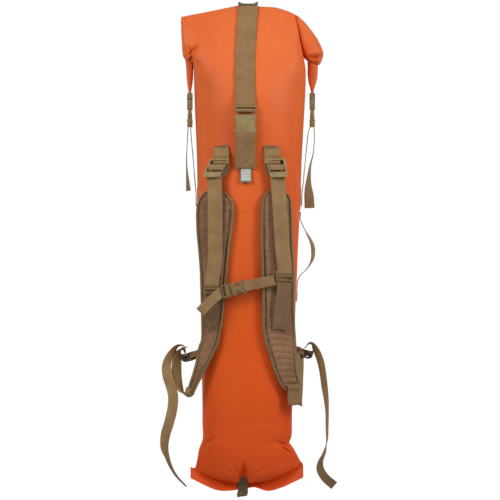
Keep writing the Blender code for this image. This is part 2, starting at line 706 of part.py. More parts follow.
# adjusting straps from the pads' ends to the lower locks
LOWER_STRANDS = {
    "left": (
        [(-0.1500, 0.0580, -0.5875), (-0.1600, 0.0620, -0.5900), (-0.1700, 0.0680, -0.5800),
         (-0.1765, 0.0760, -0.5600), (-0.1800, 0.0830, -0.5350), (-0.1805, 0.0885, -0.5080),
         (-0.1775, 0.0930, -0.4850), (-0.1680, 0.0975, -0.4712), (-0.1585, 0.1005, -0.4730)],
        [(0.75, 0.35, -0.55), (0.35, 0.80, -0.45), (0.25, 0.95, -0.15), (0.15, 0.98, 0),
         (0.10, 0.99, 0), (0, 1, 0), (0, 1, 0), (0, 0.9, 0.3), (0, 0.8, 0.5)],
    ),
    "right": (
        [(0.1150, 0.0480, -0.5720), (0.1160, 0.0475, -0.5900), (0.1175, 0.0500, -0.6030),
         (0.1205, 0.0570, -0.6060), (0.1240, 0.0640, -0.5960), (0.1285, 0.0720, -0.5700),
         (0.1330, 0.0780, -0.5450), (0.1380, 0.0840, -0.5200), (0.1450, 0.0890, -0.5020)],
        [(1, 0.15, 0), (1, 0.15, 0), (1, 0.15, 0), (0.95, 0.25, 0), (0.85, 0.45, 0),
         (0.70, 0.70, 0), (0.45, 0.88, 0), (0.2, 0.95, 0.2), (0, 0.9, 0.4)],
    ),
}

# free ends that leave the lower locks
LOWER_TAILS = {
    "left": (
        [(-0.1590, 0.1000, -0.4640), (-0.1690, 0.0940, -0.4610), (-0.1820, 0.0860, -0.4665),
         (-0.1965, 0.0780, -0.4850), (-0.2050, 0.0720, -0.5090), (-0.2030, 0.0670, -0.5350),
         (-0.1950, 0.0630, -0.5600), (-0.1890, 0.0600, -0.5860), (-0.1905, 0.0580, -0.6150),
         (-0.1985, 0.0570, -0.6500), (-0.2075, 0.0580, -0.6800), (-0.2105, 0.0600, -0.7100),
         (-0.2040, 0.0630, -0.7350), (-0.1950, 0.0650, -0.7600), (-0.1800, 0.0660, -0.7850),
         (-0.1560, 0.0660, -0.8100)],
        [(0, 1, 0), (0.1, 1, 0), (0.35, 0.9, -0.2), (0.6, 0.75, -0.4), (0.9, 0.4, -0.2),
         (1, 0.1, 0.1), (1, 0, 0.3), (1, 0, 0.2), (1, 0, -0.1), (0.95, 0.15, -0.25),
         (0.9, 0.3, -0.2), (0.85, 0.45, 0), (0.75, 0.6, 0.3), (0.7, 0.6, 0.35),
         (0.65, 0.6, 0.45), (0.6, 0.5, 0.6)],
    ),
    "right": (
        [(0.1400, 0.1000, -0.4640), (0.1480, 0.0950, -0.4570), (0.1570, 0.0900, -0.4590),
         (0.1680, 0.0840, -0.4760), (0.1770, 0.0790, -0.5000), (0.1825, 0.0750, -0.5280),
         (0.1865, 0.0720, -0.5600), (0.1905, 0.0700, -0.5900), (0.1930, 0.0690, -0.6250),
         (0.1930, 0.0690, -0.6600), (0.1925, 0.0690, -0.6950), (0.1865, 0.0700, -0.7250),
         (0.1765, 0.0710, -0.7500), (0.1770, 0.0710, -0.7700), (0.1900, 0.0700, -0.7900),
         (0.2110, 0.0690, -0.8080)],
        [(0, 1, 0), (-0.1, 1, 0), (-0.3, 0.9, -0.2), (-0.55, 0.8, -0.3), (-0.65, 0.75, -0.2),
         (-0.6, 0.8, 0), (-0.55, 0.85, 0), (-0.35, 0.95, 0), (0, 1, 0), (0.05, 1, 0),
         (0.1, 1, 0), (0.4, 0.9, 0.1), (0.6, 0.8, 0.2), (0.8, 0.6, -0.1), (0.75, 0.4, -0.5),
         (0.6, 0.3, -0.7)],
    ),
}

LOWER_LOCK = {"left": Vector((-0.1440, 0.1050, -0.4870)), "right": Vector((0.1320, 0.1050, -0.4790))}
LOWER_LOCK_AXIS = Vector((0, 0.80, 0.60))
LOWER_LOCK_LENGTH = 0.0280


def make_lower_side(side):
    """Lower lock on its short sewn webbing, with the adjusting strand and its free end."""
    sign = side_sign(side)
    bar = LOWER_LOCK[side]
    out = Vector((sign * 0.97, 0, -0.24)).normalized()
    level = (LOWER_LOCK_AXIS - out * out.dot(LOWER_LOCK_AXIS)).normalized()
    place = frame_at(bar, out, level * (1 if side == "left" else -1))
    make_ladder_lock("lower_lock_" + side, place, 0.0330, LOWER_LOCK_LENGTH)

    normal = out.cross(level)
    leg = 0.0043
    loop = []
    for k in range(9):
        angle = pi * k / 8
        loop.append(bar + out * leg * sin(angle) + normal * leg * cos(angle))
    skin_x = side_face(bar.z, side)
    near = Vector((skin_x + sign * 0.010, bar.y, bar.z + 0.004))
    sewn = Vector((skin_x + sign * 0.0022, bar.y + 0.012, bar.z + 0.004))
    end = Vector((skin_x + sign * 0.0022, bar.y + 0.034, bar.z + 0.004))
    short_leg = bar - out * 0.010 + normal * 0.0026
    long_leg = bar - out * 0.008 - normal * leg
    path = [short_leg] + loop + [long_leg, near, sewn, end]
    upright = [level] * (len(path) - 3) + [Vector((0, 0.5, 0.85))]
    upright += [Vector((0, 0.1, 1)), Vector((0, 0, 1))]
    ribbon("lower_anchor_" + side, path, upright, NARROW_WEB - 0.0010, WEB_THICKNESS, WEBBING)

    route, twist = LOWER_STRANDS[side]
    loose_strap("lower_webbing_" + side, route, twist, NARROW_WEB, WEBBING)
    route, twist = LOWER_TAILS[side]
    loose_strap("lower_tail_" + side, route, twist, NARROW_WEB, WEBBING)


# ---- sternum strap ------------------------------------------------------------------


def sternum_y(z):
    return front_line(z) - STERNUM_STANDOFF


def make_slider(side):
    """Flat loop that the shoulder webbing runs through; the right one has an upright bar."""
    x = SLIDER_X[side]
    z = SLIDER_Z[side]
    half = SLIDER_HALF
    band = 0.0070
    bar = half + 0.0080
    if side == "right":
        outline = [(half, -band), (half, band), (-half, band), (-half, 0.0180), (-bar, 0.0180),
                   (-bar, -0.0180), (-half, -0.0180), (-half, -band)]
    else:
        outline = [(half, -band), (half, band), (-half, band), (-half, -band)]
    lean = Vector((0, front_line(z + 0.05) - front_line(z - 0.05), 0.1)).normalized()
    place = frame_at((x, sternum_y(z), z), (1, 0, 0), lean)
    slider = outline_solid("sternum_slider_" + side, outline, 0.0072, place, PLASTIC)
    opening = SHOULDER_WEB / 2 + 0.0008
    cut(slider, [((-opening, -0.1, -0.0018), (opening, 0.1, 0.0018))])


def make_sternum():
    """Chest strap: sliders, side-release buckle, its two webbings and a loose sewn end."""
    along = Vector((cos(STERNUM_TILT), 0, sin(STERNUM_TILT)))
    upward = Vector((-sin(STERNUM_TILT), 0, cos(STERNUM_TILT)))
    start_x, start_z = STERNUM_START
    y = sternum_y(start_z) - STERNUM_LIFT
    start = Vector((start_x, y, start_z))
    mouth = start + along * MALE_FRAME
    place = frame_at(mouth, -along, upward)
    make_male("sternum_buckle_male", place, SMALL_WIDTH, NARROW_WEB)
    female_length = STERNUM_FEMALE_LENGTH
    make_female("sternum_buckle_female", place, SMALL_WIDTH, female_length, NARROW_WEB)

    front = Vector((0, -1, 0))
    bar = mouth - along * 0.0120
    loop = []
    for k in range(9):
        angle = pi * k / 8
        loop.append(bar + (along * sin(angle) - front * cos(angle)) * BAR_LEG)
    inner = start - along * 0.0008 - front * BAR_LEG
    ribbon("sternum_webbing_left", [inner] + loop, upward, NARROW_WEB - 0.001, WEB_THICKNESS, WEBBING)

    tail_route = [bar + front * (BAR_LEG + 0.0026) + along * 0.0020,
                  bar + front * 0.0085 - along * 0.0140 + Vector((0, 0, -0.002)),
                  Vector((-0.0900, y - 0.0092, -0.3455)),
                  Vector((-0.1060, y - 0.0085, -0.3610)),
                  Vector((-0.1240, y - 0.0060, -0.3790))]
    tail_twist = [upward, upward, Vector((-0.5, 0, 0.87)), Vector((-0.68, 0, 0.73)),
                  Vector((-0.70, 0, 0.70))]
    loose_strap("sternum_tail", tail_route, tail_twist, NARROW_WEB, WEBBING, 3)

    far_bar = mouth + along * (female_length - 0.0022)
    end = Vector((SLIDER_X["right"] - SLIDER_HALF - 0.0115, sternum_y(-0.298) - STERNUM_LIFT / 2, SLIDER_Z["right"] - 0.0050))
    loop = []
    for k in range(9):
        angle = pi * k / 8
        loop.append(far_bar - (along * sin(angle) - front * cos(angle)) * BAR_LEG)
    path = [far_bar + along * 0.0140 + front * 0.0032] + loop
    path += [far_bar + along * 0.0100 - front * BAR_LEG * 0.7, far_bar + along * 0.0250]
    path.append((far_bar + end) / 2 + along * 0.012)
    path.append(end)
    ribbon("sternum_webbing_right", path, upward, NARROW_WEB - 0.001, WEB_THICKNESS, WEBBING)


# ---- handles ------------------------------------------------------------------------


def make_side_handle():
    """Carry loop on the right side, with its two sewn ends as separate straps."""
    y = BAG_MID_Y
    across = Vector((0, 1, 0))

    def skin(z, off=0.0016):
        return Vector((side_face(z, "right") + off, y, z))

    upper_end = [skin(-0.128), skin(-0.142), Vector((0.1275, y, -0.1510)),
                 Vector((0.1308, y, -0.1580))]
    ribbon("side_handle_end_upper", upper_end, across, NARROW_WEB, WEB_THICKNESS, WEBBING)
    route = [(0.1318, y, -0.1600), (0.1420, y, -0.1800), (0.1545, y, -0.2040),
             (0.1590, y, -0.2240), (0.1560, y, -0.2480), (0.1440, y, -0.2690),
             (0.1290, y, -0.2836)]
    centres = smooth_through(route, 2)
    grip = ribbon("side_handle", centres, across, NARROW_WEB, WEB_THICKNESS, WEBBING)
    put_origin(grip, SIDE_HANDLE_AXIS)
    lower_end = [Vector((0.1270, y, -0.2860)), Vector((0.1222, y, -0.2930)), skin(-0.302, 0.0020),
                 skin(-0.325), skin(-0.352)]
    ribbon("side_handle_end_lower", lower_end, across, NARROW_WEB, WEB_THICKNESS, WEBBING)


def make_bottom_loop():
    """Haul loop round the bottom fin: sewn to both faces, free below the edge."""
    x = BOTTOM_LOOP_X
    across = Vector((1, 0, 0))
    leg = 0.0050
    leg_end = BOTTOM_LOOP_Z + 0.0027
    for face, sign in (("front", -1), ("back", 1)):
        path = [Vector((x, BAG_MID_Y + sign * (section_at(z)[1] / 2 + 0.0022), z))
                for z in (-0.770, -0.779, -0.787)]
        path.append(Vector((x, BAG_MID_Y + sign * leg, -0.800)))
        path.append(Vector((x, BAG_MID_Y + sign * leg, leg_end)))
        ribbon("bottom_loop_" + face, path, across, NARROW_WEB, WEB_THICKNESS, WEBBING)
    z = BOTTOM_LOOP_Z
    path = [Vector((x, BAG_MID_Y - leg, z)), Vector((x, BAG_MID_Y - 0.0056, z - 0.0070))]
    path += turn_about(BAG_MID_Y, z - 0.0098, 0.0058, 190, 350, 8, x)
    path += [Vector((x, BAG_MID_Y + 0.0056, z - 0.0070)), Vector((x, BAG_MID_Y + leg, z))]
    loop = ribbon("bottom_loop", path, across, NARROW_WEB, WEB_THICKNESS, WEBBING)
    put_origin(loop, (x, BAG_MID_Y, z))


# ---- build --------------------------------------------------------------------------


def build():
    clear_scene()
    make_bag_shell()
    make_rolled_collar()
    make_stiffener()
    make_top_strap()
    make_top_keeper()
    centre = frame_at(CENTRE_MOUTH, (0, 0, 1), (1, 0, 0))
    make_male("centre_buckle_male", centre, CENTRE_WIDTH, WIDE_WEB)
    make_female("centre_buckle_female", centre, CENTRE_WIDTH, CENTRE_FEMALE_LENGTH, WIDE_WEB)
    make_centre_strap()
    make_name_tag()
    for side in ("left", "right"):
        make_ear(side)
        make_ear_tab(side)
        make_side_closure(side)
        make_side_tail(side)
        make_upper_anchor(side)
        bar = (LOCK_X[side], PIVOT_Y, 0)
        place = frame_at(bar, (0, 0, -1), (-1, 0, 0))
        make_ladder_lock("upper_lock_" + side, place, 0.0510, 0.0400)
        make_shoulder_pad(side)
        make_shoulder_webbing(side)
        make_lower_side(side)
        make_slider(side)
    make_sternum()
    make_side_handle()
    make_bottom_loop()


build()
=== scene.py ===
"""Roll-top waterproof bag with a backpack harness: the visual model, built around the CAD frame."""

from math import atan2, cos, pi, radians, sin

import bmesh
import bpy
import numpy as np
from mathutils import Matrix, Vector, noise


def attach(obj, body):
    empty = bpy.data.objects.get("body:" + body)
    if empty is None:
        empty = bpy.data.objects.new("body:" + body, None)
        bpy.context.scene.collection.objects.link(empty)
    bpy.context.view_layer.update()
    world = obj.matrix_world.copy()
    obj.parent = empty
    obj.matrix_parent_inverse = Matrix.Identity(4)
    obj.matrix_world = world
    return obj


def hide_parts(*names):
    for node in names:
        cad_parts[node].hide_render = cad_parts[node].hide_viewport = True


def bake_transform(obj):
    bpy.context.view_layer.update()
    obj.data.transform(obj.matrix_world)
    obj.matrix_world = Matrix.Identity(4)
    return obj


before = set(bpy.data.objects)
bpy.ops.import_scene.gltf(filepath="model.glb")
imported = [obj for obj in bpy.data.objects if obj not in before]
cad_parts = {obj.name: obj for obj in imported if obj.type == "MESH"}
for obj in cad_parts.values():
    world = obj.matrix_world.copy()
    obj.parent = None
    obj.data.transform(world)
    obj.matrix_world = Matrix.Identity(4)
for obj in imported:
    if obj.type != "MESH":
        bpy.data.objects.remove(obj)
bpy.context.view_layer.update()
SCENE = bpy.context.scene

# ---- camera -------------------------------------------------------------------------

FRAME_WIDTH = 1.24          # metres across the picture at the bag's own distance
CAMERA_DISTANCE = 14.0
CAMERA_AIM = Vector((0.0017, 0.060, -0.2232))

camera_data = bpy.data.cameras.new("camera")
camera_data.sensor_width = 36.0
camera_data.lens = 36.0 * CAMERA_DISTANCE / FRAME_WIDTH
camera_data.clip_end = 100
camera = bpy.data.objects.new("camera", camera_data)
camera.location = CAMERA_AIM - Vector((0, CAMERA_DISTANCE, 0))
camera.rotation_euler = (pi / 2, 0, 0)
SCENE.collection.objects.link(camera)
SCENE.camera = camera

# ---- dimensions shared with the CAD -------------------------------------------------

BAG_SECTIONS = [
    (-0.7190, 0.239, 0.0800), (-0.7000, 0.226, 0.0980), (-0.6750, 0.2235, 0.1150),
    (-0.6150, 0.2235, 0.1350), (-0.5000, 0.230, 0.1500), (-0.3970, 0.234, 0.1650),
    (-0.2980, 0.241, 0.1820), (-0.1980, 0.2475, 0.1960), (-0.0990, 0.2555, 0.2080),
    (0.0000, 0.2605, 0.2200), (0.0990, 0.270, 0.2280), (0.1590, 0.2755, 0.2240),
    (0.2180, 0.280, 0.1960), (0.2580, 0.284, 0.1620), (0.2980, 0.288, 0.1220),
    (0.3370, 0.292, 0.0780),
]
MID_Y = 0.110
LEAN = 0.008
POWER = 2.3
ROLL_Y, ROLL_Z, ROLL_RADIUS = 0.112, 0.3655, 0.0190

WIDE_WEB, SHOULDER_WEB, NARROW_WEB = 0.0490, 0.0365, 0.0250
WEB = 0.0017
BAR_LEG = 0.0046
PLATE = 0.0050
PRONG = 0.0240
MALE_FRAME = 0.0235
CENTRE_WIDTH, SMALL_WIDTH = 0.0545, 0.0345
MALE_BAR = 0.0120           # from a male half's mouth to the bar its strap turns round
BAR_INSET = 0.0022          # from a female half's far end to the middle of its bar
STRAP_X = -0.0095
CENTRE_MOUTH = Vector((STRAP_X, -0.0145, 0.109))
CENTRE_FEMALE = 0.047
SIDE_X = {"left": -0.1480, "right": 0.1567}
SIDE_MOUTH_Z, SIDE_FEMALE = 0.1260, 0.046
PIVOT_Y = -0.010
LOCK_X = {"left": -0.0820, "right": 0.0680}
STERNUM_TILT = radians(13.5)
STANDOFF, STERNUM_LIFT = 0.017, 0.0042
STERNUM_START = (-0.0679, -0.3270)
STERNUM_FEMALE = 0.0365
SLIDER_X = {"left": -0.0925, "right": 0.0868}
SLIDER_Z = {"left": -0.3240, "right": -0.2930}
SLIDER_HALF = 0.0205
BOTTOM_LOOP_X, BOTTOM_LOOP_Z = -0.0156, -0.8205
SIDES = ("left", "right")

# ---- small helpers ------------------------------------------------------------------


def sign_of(side):
    return 1 if side == "right" else -1


def lerp_rows(rows, key):
    """Values of a table at key, joined by a smooth curve. Rows are sorted by their first number."""
    if key <= rows[0][0]:
        return rows[0][1:]
    if key >= rows[-1][0]:
        return rows[-1][1:]
    for i in range(len(rows) - 1):
        if key <= rows[i + 1][0]:
            break
    before = rows[max(i - 1, 0)]
    low, high = rows[i], rows[i + 1]
    after = rows[min(i + 2, len(rows) - 1)]
    t = (key - low[0]) / (high[0] - low[0])
    out = []
    for a, b, c, d in zip(before[1:], low[1:], high[1:], after[1:]):
        span = high[0] - low[0]
        slope_low = (c - a) / max(high[0] - before[0], 1e-9) * span
        slope_high = (d - b) / max(after[0] - low[0], 1e-9) * span
        out.append(
            (2 * t**3 - 3 * t**2 + 1) * b + (t**3 - 2 * t**2 + t) * slope_low
            + (-2 * t**3 + 3 * t**2) * c + (t**3 - t**2) * slope_high
        )
    return out


def smooth_step(value, low, high):
    t = min(max((value - low) / (high - low), 0.0), 1.0)
    return t * t * (3 - 2 * t)


def bump(value, middle, width):
    """1 at the middle, falling smoothly to 0 at width on either side."""
    t = abs(value - middle) / width
    return 0.0 if t >= 1 else (1 - t * t) ** 2


def wobble(x, y, z, seed=0.0):
    return noise.noise(Vector((x, y, z + 17.3 * seed)))


def smooth_through(points, steps):
    """Points on a Catmull-Rom curve through the given ones, steps per span."""
    line = [Vector(p) for p in points]
    line = [2 * line[0] - line[1]] + line + [2 * line[-1] - line[-2]]
    out = []
    for a, b, c, d in zip(line, line[1:], line[2:], line[3:]):
        for k in range(steps):
            t = k / steps
            out.append(0.5 * (2 * b + (c - a) * t + (2 * a - 5 * b + 4 * c - d) * t * t
                              + (3 * b - a - 3 * c + d) * t * t * t))
    out.append(line[-2])
    return out


def turn_about(centre_y, centre_z, radius, start, stop, steps, x):
    """Points on an arc in the YZ plane, angles in degrees from +Y towards +Z."""
    out = []
    for k in range(steps + 1):
        angle = radians(start + (stop - start) * k / steps)
        out.append(Vector((x, centre_y + radius * cos(angle), centre_z + radius * sin(angle))))
    return out


def frame_at(origin, u, v):
    """A matrix whose X runs along u and whose Y runs along v."""
    u = Vector(u).normalized()
    v = (Vector(v) - u * Vector(v).dot(u)).normalized()
    turn = Matrix((u, v, u.cross(v))).transposed().to_4x4()
    return Matrix.Translation(Vector(origin)) @ turn


def add_object(name, data):
    made = bpy.data.objects.new(name, data)
    SCENE.collection.objects.link(made)
    return made


def angles(count):
    return [2 * pi * k / count for k in range(count)]


def finish_mesh(name, bm, mat, sharp=None):
    """A shaded object from a bmesh, in the row frame."""
    bmesh.ops.recalc_face_normals(bm, faces=bm.faces)
    mesh = bpy.data.meshes.new(name)
    bm.to_mesh(mesh)
    bm.free()
    mesh.shade_smooth()
    if sharp:
        mesh.set_sharp_from_angle(angle=radians(sharp))
    mesh.materials.append(mat)
    return add_object(name, mesh)


def joined(name, pieces):
    """One object from several, keeping their materials."""
    bm = bmesh.new()
    mats = []
    for piece in pieces:
        mat = piece.data.materials[0]
        if mat not in mats:
            mats.append(mat)
        start = len(bm.faces)
        piece.data.transform(piece.matrix_world)
        bm.from_mesh(piece.data)
        bm.faces.ensure_lookup_table()
        for face in bm.faces[start:]:
            face.material_index = mats.index(mat)
        bpy.data.objects.remove(piece, do_unlink=True)
    mesh = bpy.data.meshes.new(name)
    bm.to_mesh(mesh)
    bm.free()
    for mat in mats:
        mesh.materials.append(mat)
    return add_object(name, mesh)


def bridge(bm, rings, caps=True):
    """Faces between neighbouring rings of points, and over both ends."""
    count = len(rings[0])
    for low, high in zip(rings, rings[1:]):
        for i in range(count):
            j = (i + 1) % count
            bm.faces.new((low[i], low[j], high[j], high[i]))
    if caps:
        bm.faces.new(rings[0])
        bm.faces.new(rings[-1])


def squared(value, power):
    """A cosine or sine raised to a power, with its sign kept: below 1 it makes a circle boxier."""
    return abs(value) ** power * (1 if value >= 0 else -1)


def evaluated_mesh(made):
    return bpy.data.meshes.new_from_object(made.evaluated_get(bpy.context.evaluated_depsgraph_get()))


def settle(made, slot, body, *nodes):
    """Hides the CAD parts a rigid piece stands for and hangs it on the body that carries it; its material slot
    is not used.
    """
    if nodes:
        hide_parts(*nodes)
    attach(made, body)


def bend(made, slot, bodies, z_range, *nodes):
    """Hides the CAD parts a soft piece stands for and bakes its placement into its mesh; slot, bodies and
    z_range are not used.
    """
    if nodes:
        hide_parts(*nodes)
    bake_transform(made)


# ---- materials ----------------------------------------------------------------------


class Shader:
    """A Principled material and shorthand for the nodes that feed it."""

    def __init__(self, name, roughness, specular=0.5, sheen=0.0):
        self.mat = bpy.data.materials.new(name)
        self.mat.use_nodes = True
        self.tree = self.mat.node_tree
        self.surface = self.tree.nodes["Principled BSDF"]
        self.surface.inputs["Roughness"].default_value = roughness
        self.surface.inputs["Specular IOR Level"].default_value = specular
        self.surface.inputs["Sheen Weight"].default_value = sheen
        self.surface.inputs["Sheen Roughness"].default_value = 0.4

    def node(self, kind, props=(), **values):
        made = self.tree.nodes.new(kind)
        for key, value in dict(props).items():
            setattr(made, key, value)
        for key, value in values.items():
            socket = made.inputs[int(key[1:])] if key[0] == "i" and key[1:].isdigit() else (
                made.inputs[key.replace("_", " ")])
            if isinstance(value, bpy.types.NodeSocket):
                self.tree.links.new(value, socket)
            else:
                socket.default_value = value
        return made

    def maths(self, operation, a, b=0.0):
        return self.node("ShaderNodeMath", {"operation": operation}, i0=a, i1=b).outputs[0]

    def place(self, which, scale=(1, 1, 1)):
        coords = self.node("ShaderNodeTexCoord").outputs[which]
        return self.node("ShaderNodeMapping", Vector=coords, Scale=scale).outputs[0]

    def split(self, vector):
        return self.node("ShaderNodeSeparateXYZ", Vector=vector).outputs

    def between(self, value, low, high):
        """0 at low, 1 at high."""
        return self.node("ShaderNodeMapRange", Value=value, From_Min=low, From_Max=high).outputs[0]

    def noise(self, where, scale, detail=2.0, rough=0.5):
        made = self.node("ShaderNodeTexNoise", Vector=where, Scale=scale, Detail=detail,
                         Roughness=rough)
        return made.outputs["Fac"]

    def ramp(self, value, stops):
        made = self.node("ShaderNodeValToRGB", Fac=value)
        band = made.color_ramp
        band.elements[0].position, band.elements[0].color = stops[0][0], (*stops[0][1], 1)
        band.elements[1].position, band.elements[1].color = stops[-1][0], (*stops[-1][1], 1)
        for position, colour in stops[1:-1]:
            band.elements.new(position).color = (*colour, 1)
        return made.outputs["Color"]

    def mix(self, factor, a, b, mode="MIX"):
        made = self.node("ShaderNodeMix", {"data_type": "RGBA", "blend_type": mode})
        for index, value in ((0, factor), (6, a), (7, b)):
            if isinstance(value, bpy.types.NodeSocket):
                self.tree.links.new(value, made.inputs[index])
            else:
                made.inputs[index].default_value = value
        return made.outputs[2]

    def colour(self, value):
        self.tree.links.new(value, self.surface.inputs["Base Color"])

    def roughness(self, value, low, high):
        made = self.node("ShaderNodeMapRange", Value=value, To_Min=low, To_Max=high)
        self.tree.links.new(made.outputs[0], self.surface.inputs["Roughness"])

    def bumps(self, layers):
        """Bump layers, coarse first: (height, strength, distance)."""
        normal = None
        for height, strength, distance in layers:
            made = self.node("ShaderNodeBump", Height=height, Strength=strength, Distance=distance)
            if normal is not None:
                self.tree.links.new(normal, made.inputs["Normal"])
            normal = made.outputs[0]
        self.tree.links.new(normal, self.surface.inputs["Normal"])

    def weave(self, where, across, along):
        """Basket weave of the given pitches, from coordinates in metres."""
        x, y, _ = self.split(where)
        u = self.maths("DIVIDE", x, across)
        v = self.maths("DIVIDE", y, along)
        shift = self.maths("MULTIPLY", self.maths("FLOOR", u), 0.5)
        a = self.maths("ABSOLUTE", self.maths("SINE", self.maths("MULTIPLY", u, pi)))
        turn = self.maths("MULTIPLY", self.maths("ADD", v, shift), pi)
        b = self.maths("ABSOLUTE", self.maths("SINE", turn))
        return self.maths("MULTIPLY", a, b)


def coated_fabric():
    s = Shader("coated_fabric", 0.52, 0.24)
    where = s.place("Object")
    tall = s.place("Object", (1, 1, 0.45))
    broad = s.noise(tall, 7.0, 3.0, 0.55)
    fine = s.noise(where, 420.0, 2.0, 0.6)
    tone = s.ramp(broad, [(0.30, (0.760, 0.088, 0.010)), (0.52, (0.820, 0.104, 0.013)),
                          (0.75, (0.870, 0.124, 0.018))])
    # painted light: the colour is multiplied by a ramp over height, darker and redder towards the bottom as
    # painted shade, and paler towards the top as a painted sheen
    level = s.split(where)[2]
    rise = s.between(level, -0.82, 0.30)
    tone = s.mix(1.0, tone, s.ramp(rise, [(0.0, (0.88, 0.66, 0.20)), (0.30, (1.0, 0.92, 0.50)),
                                          (0.8, (1.00, 1.38, 2.20)), (1.0, (1.00, 1.60, 3.00))]), "MULTIPLY")
    s.colour(s.mix(0.07, tone, s.ramp(fine, [(0.3, (0.55, 0.07, 0.01)), (0.7, (1, 0.25, 0.07))])))
    s.roughness(s.noise(where, 26.0, 4.0, 0.6), 0.46, 0.60)
    x, y, _ = s.split(where)
    across = s.maths("LESS_THAN", s.maths("ABSOLUTE", s.maths("ADD", x, 0.006)), 0.1080)
    upper = s.between(level, 0.0475, 0.0462)
    lower = s.between(level, -0.1300, -0.1287)
    facing = s.maths("LESS_THAN", y, 0.085)
    patch = s.maths("MULTIPLY", s.maths("MULTIPLY", upper, lower), s.maths("MULTIPLY", across, facing))
    grid = s.weave(s.place("Object"), 0.0011, 0.0011)
    dents = s.noise(tall, 15.0, 2.0, 0.5)
    small = s.noise(where, 70.0, 3.0, 0.55)
    s.bumps([(patch, 0.8, 0.0006), (dents, 0.35, 0.006), (small, 0.22, 0.0010), (fine, 0.12, 0.0003),
             (grid, 0.06, 0.0002)])
    return s.mat


def webbing(name, dark, light, across=0.0021, along=0.0017, sheen=0.12, low_painted_shade=False):
    s = Shader(name, 0.78, 0.22, sheen=sheen)
    where = s.place("UV")
    weave = s.weave(where, across, along)
    stripes = s.noise(s.place("UV", (330, 9, 1)), 1.0, 2.0, 0.5)
    blotch = s.noise(s.place("Object"), 34.0, 3.0, 0.55)
    fibre = s.noise(s.place("UV", (2600, 900, 1)), 1.0, 2.0, 0.6)
    tone = s.ramp(s.maths("ADD", s.maths("MULTIPLY", stripes, 0.35), s.maths("MULTIPLY", blotch, 0.65)),
                  [(0.32, dark), (0.70, light)])
    shade = s.ramp(weave, [(0.0, (0.52, 0.50, 0.46)), (0.55, (1, 1, 1))])
    tone = s.mix(0.75, tone, shade, "MULTIPLY")
    if low_painted_shade:
        # painted shade: the webbing is darkened towards the bottom, low down near the ends
        level = s.split(s.place("Object"))[2]
        rise = s.between(level, -0.80, -0.67)
        tone = s.mix(1.0, tone, s.ramp(rise, [(0.0, (0.34, 0.27, 0.22)), (1.0, (1, 1, 1))]), "MULTIPLY")
    s.colour(s.mix(0.16, tone, s.ramp(fibre, [(0.35, (0.10, 0.06, 0.03)), (0.65, (0.62, 0.48, 0.30))])))
    s.roughness(fibre, 0.66, 0.88)
    s.bumps([(blotch, 0.15, 0.0015), (stripes, 0.20, 0.0004), (weave, 0.60, 0.0005), (fibre, 0.25, 0.0002)])
    return s.mat


def pad_fabric():
    s = Shader("pad_fabric", 0.86, 0.18, sheen=0.15)
    where = s.place("Object")
    x, _, z = s.split(where)
    grid = s.weave(s.node("ShaderNodeCombineXYZ", X=x, Y=z).outputs[0], 0.0019, 0.0019)
    broad = s.noise(where, 22.0, 3.0, 0.6)
    fine = s.noise(where, 900.0, 2.0, 0.6)
    tone = s.ramp(broad, [(0.30, (0.255, 0.126, 0.062)), (0.70, (0.400, 0.210, 0.110))])
    tone = s.mix(0.6, tone, s.ramp(grid, [(0.0, (0.55, 0.52, 0.48)), (0.5, (1, 1, 1))]), "MULTIPLY")
    s.colour(s.mix(0.15, tone, s.ramp(fine, [(0.35, (0.08, 0.05, 0.03)), (0.65, (0.55, 0.38, 0.25))])))
    s.roughness(fine, 0.76, 0.93)
    s.bumps([(broad, 0.30, 0.003), (grid, 0.50, 0.0005), (fine, 0.25, 0.0002)])
    return s.mat


def moulded_plastic(name, dark, light, roughness=0.42):
    s = Shader(name, roughness, 0.5)
    where = s.place("Object")
    broad = s.noise(where, 60.0, 3.0, 0.5)
    grain = s.noise(where, 1700.0, 2.0, 0.6)
    s.colour(s.ramp(s.maths("ADD", s.maths("MULTIPLY", broad, 0.8), s.maths("MULTIPLY", grain, 0.2)),
                    [(0.30, dark), (0.70, light)]))
    s.roughness(broad, roughness - 0.07, roughness + 0.08)
    s.bumps([(broad, 0.10, 0.0006), (grain, 0.20, 0.00012)])
    return s.mat


def woven_label():
    s = Shader("woven_label", 0.80, 0.25, sheen=0.2)
    where = s.place("UV")
    u, v, _ = s.split(where)
    edge = s.maths("MAXIMUM", s.maths("GREATER_THAN", s.maths("ABSOLUTE", u), 0.0120),
                   s.maths("GREATER_THAN", s.maths("ABSOLUTE", v), 0.0140))
    lines = s.maths("GREATER_THAN", s.maths("SINE", s.maths("MULTIPLY", v, 900.0)), 0.55)
    weave = s.weave(where, 0.0007, 0.0005)
    tone = s.mix(edge, (0.70, 0.68, 0.60, 1), (0.20, 0.20, 0.19, 1))
    tone = s.mix(s.maths("MULTIPLY", lines, 0.40), tone, (0.25, 0.25, 0.24, 1))
    s.colour(s.mix(0.7, tone, s.ramp(weave, [(0, (0.6, 0.6, 0.6)), (0.5, (1, 1, 1))]), "MULTIPLY"))
    s.bumps([(weave, 0.4, 0.0003), (s.noise(where, 900.0, 2.0), 0.3, 0.0002)])
    return s.mat


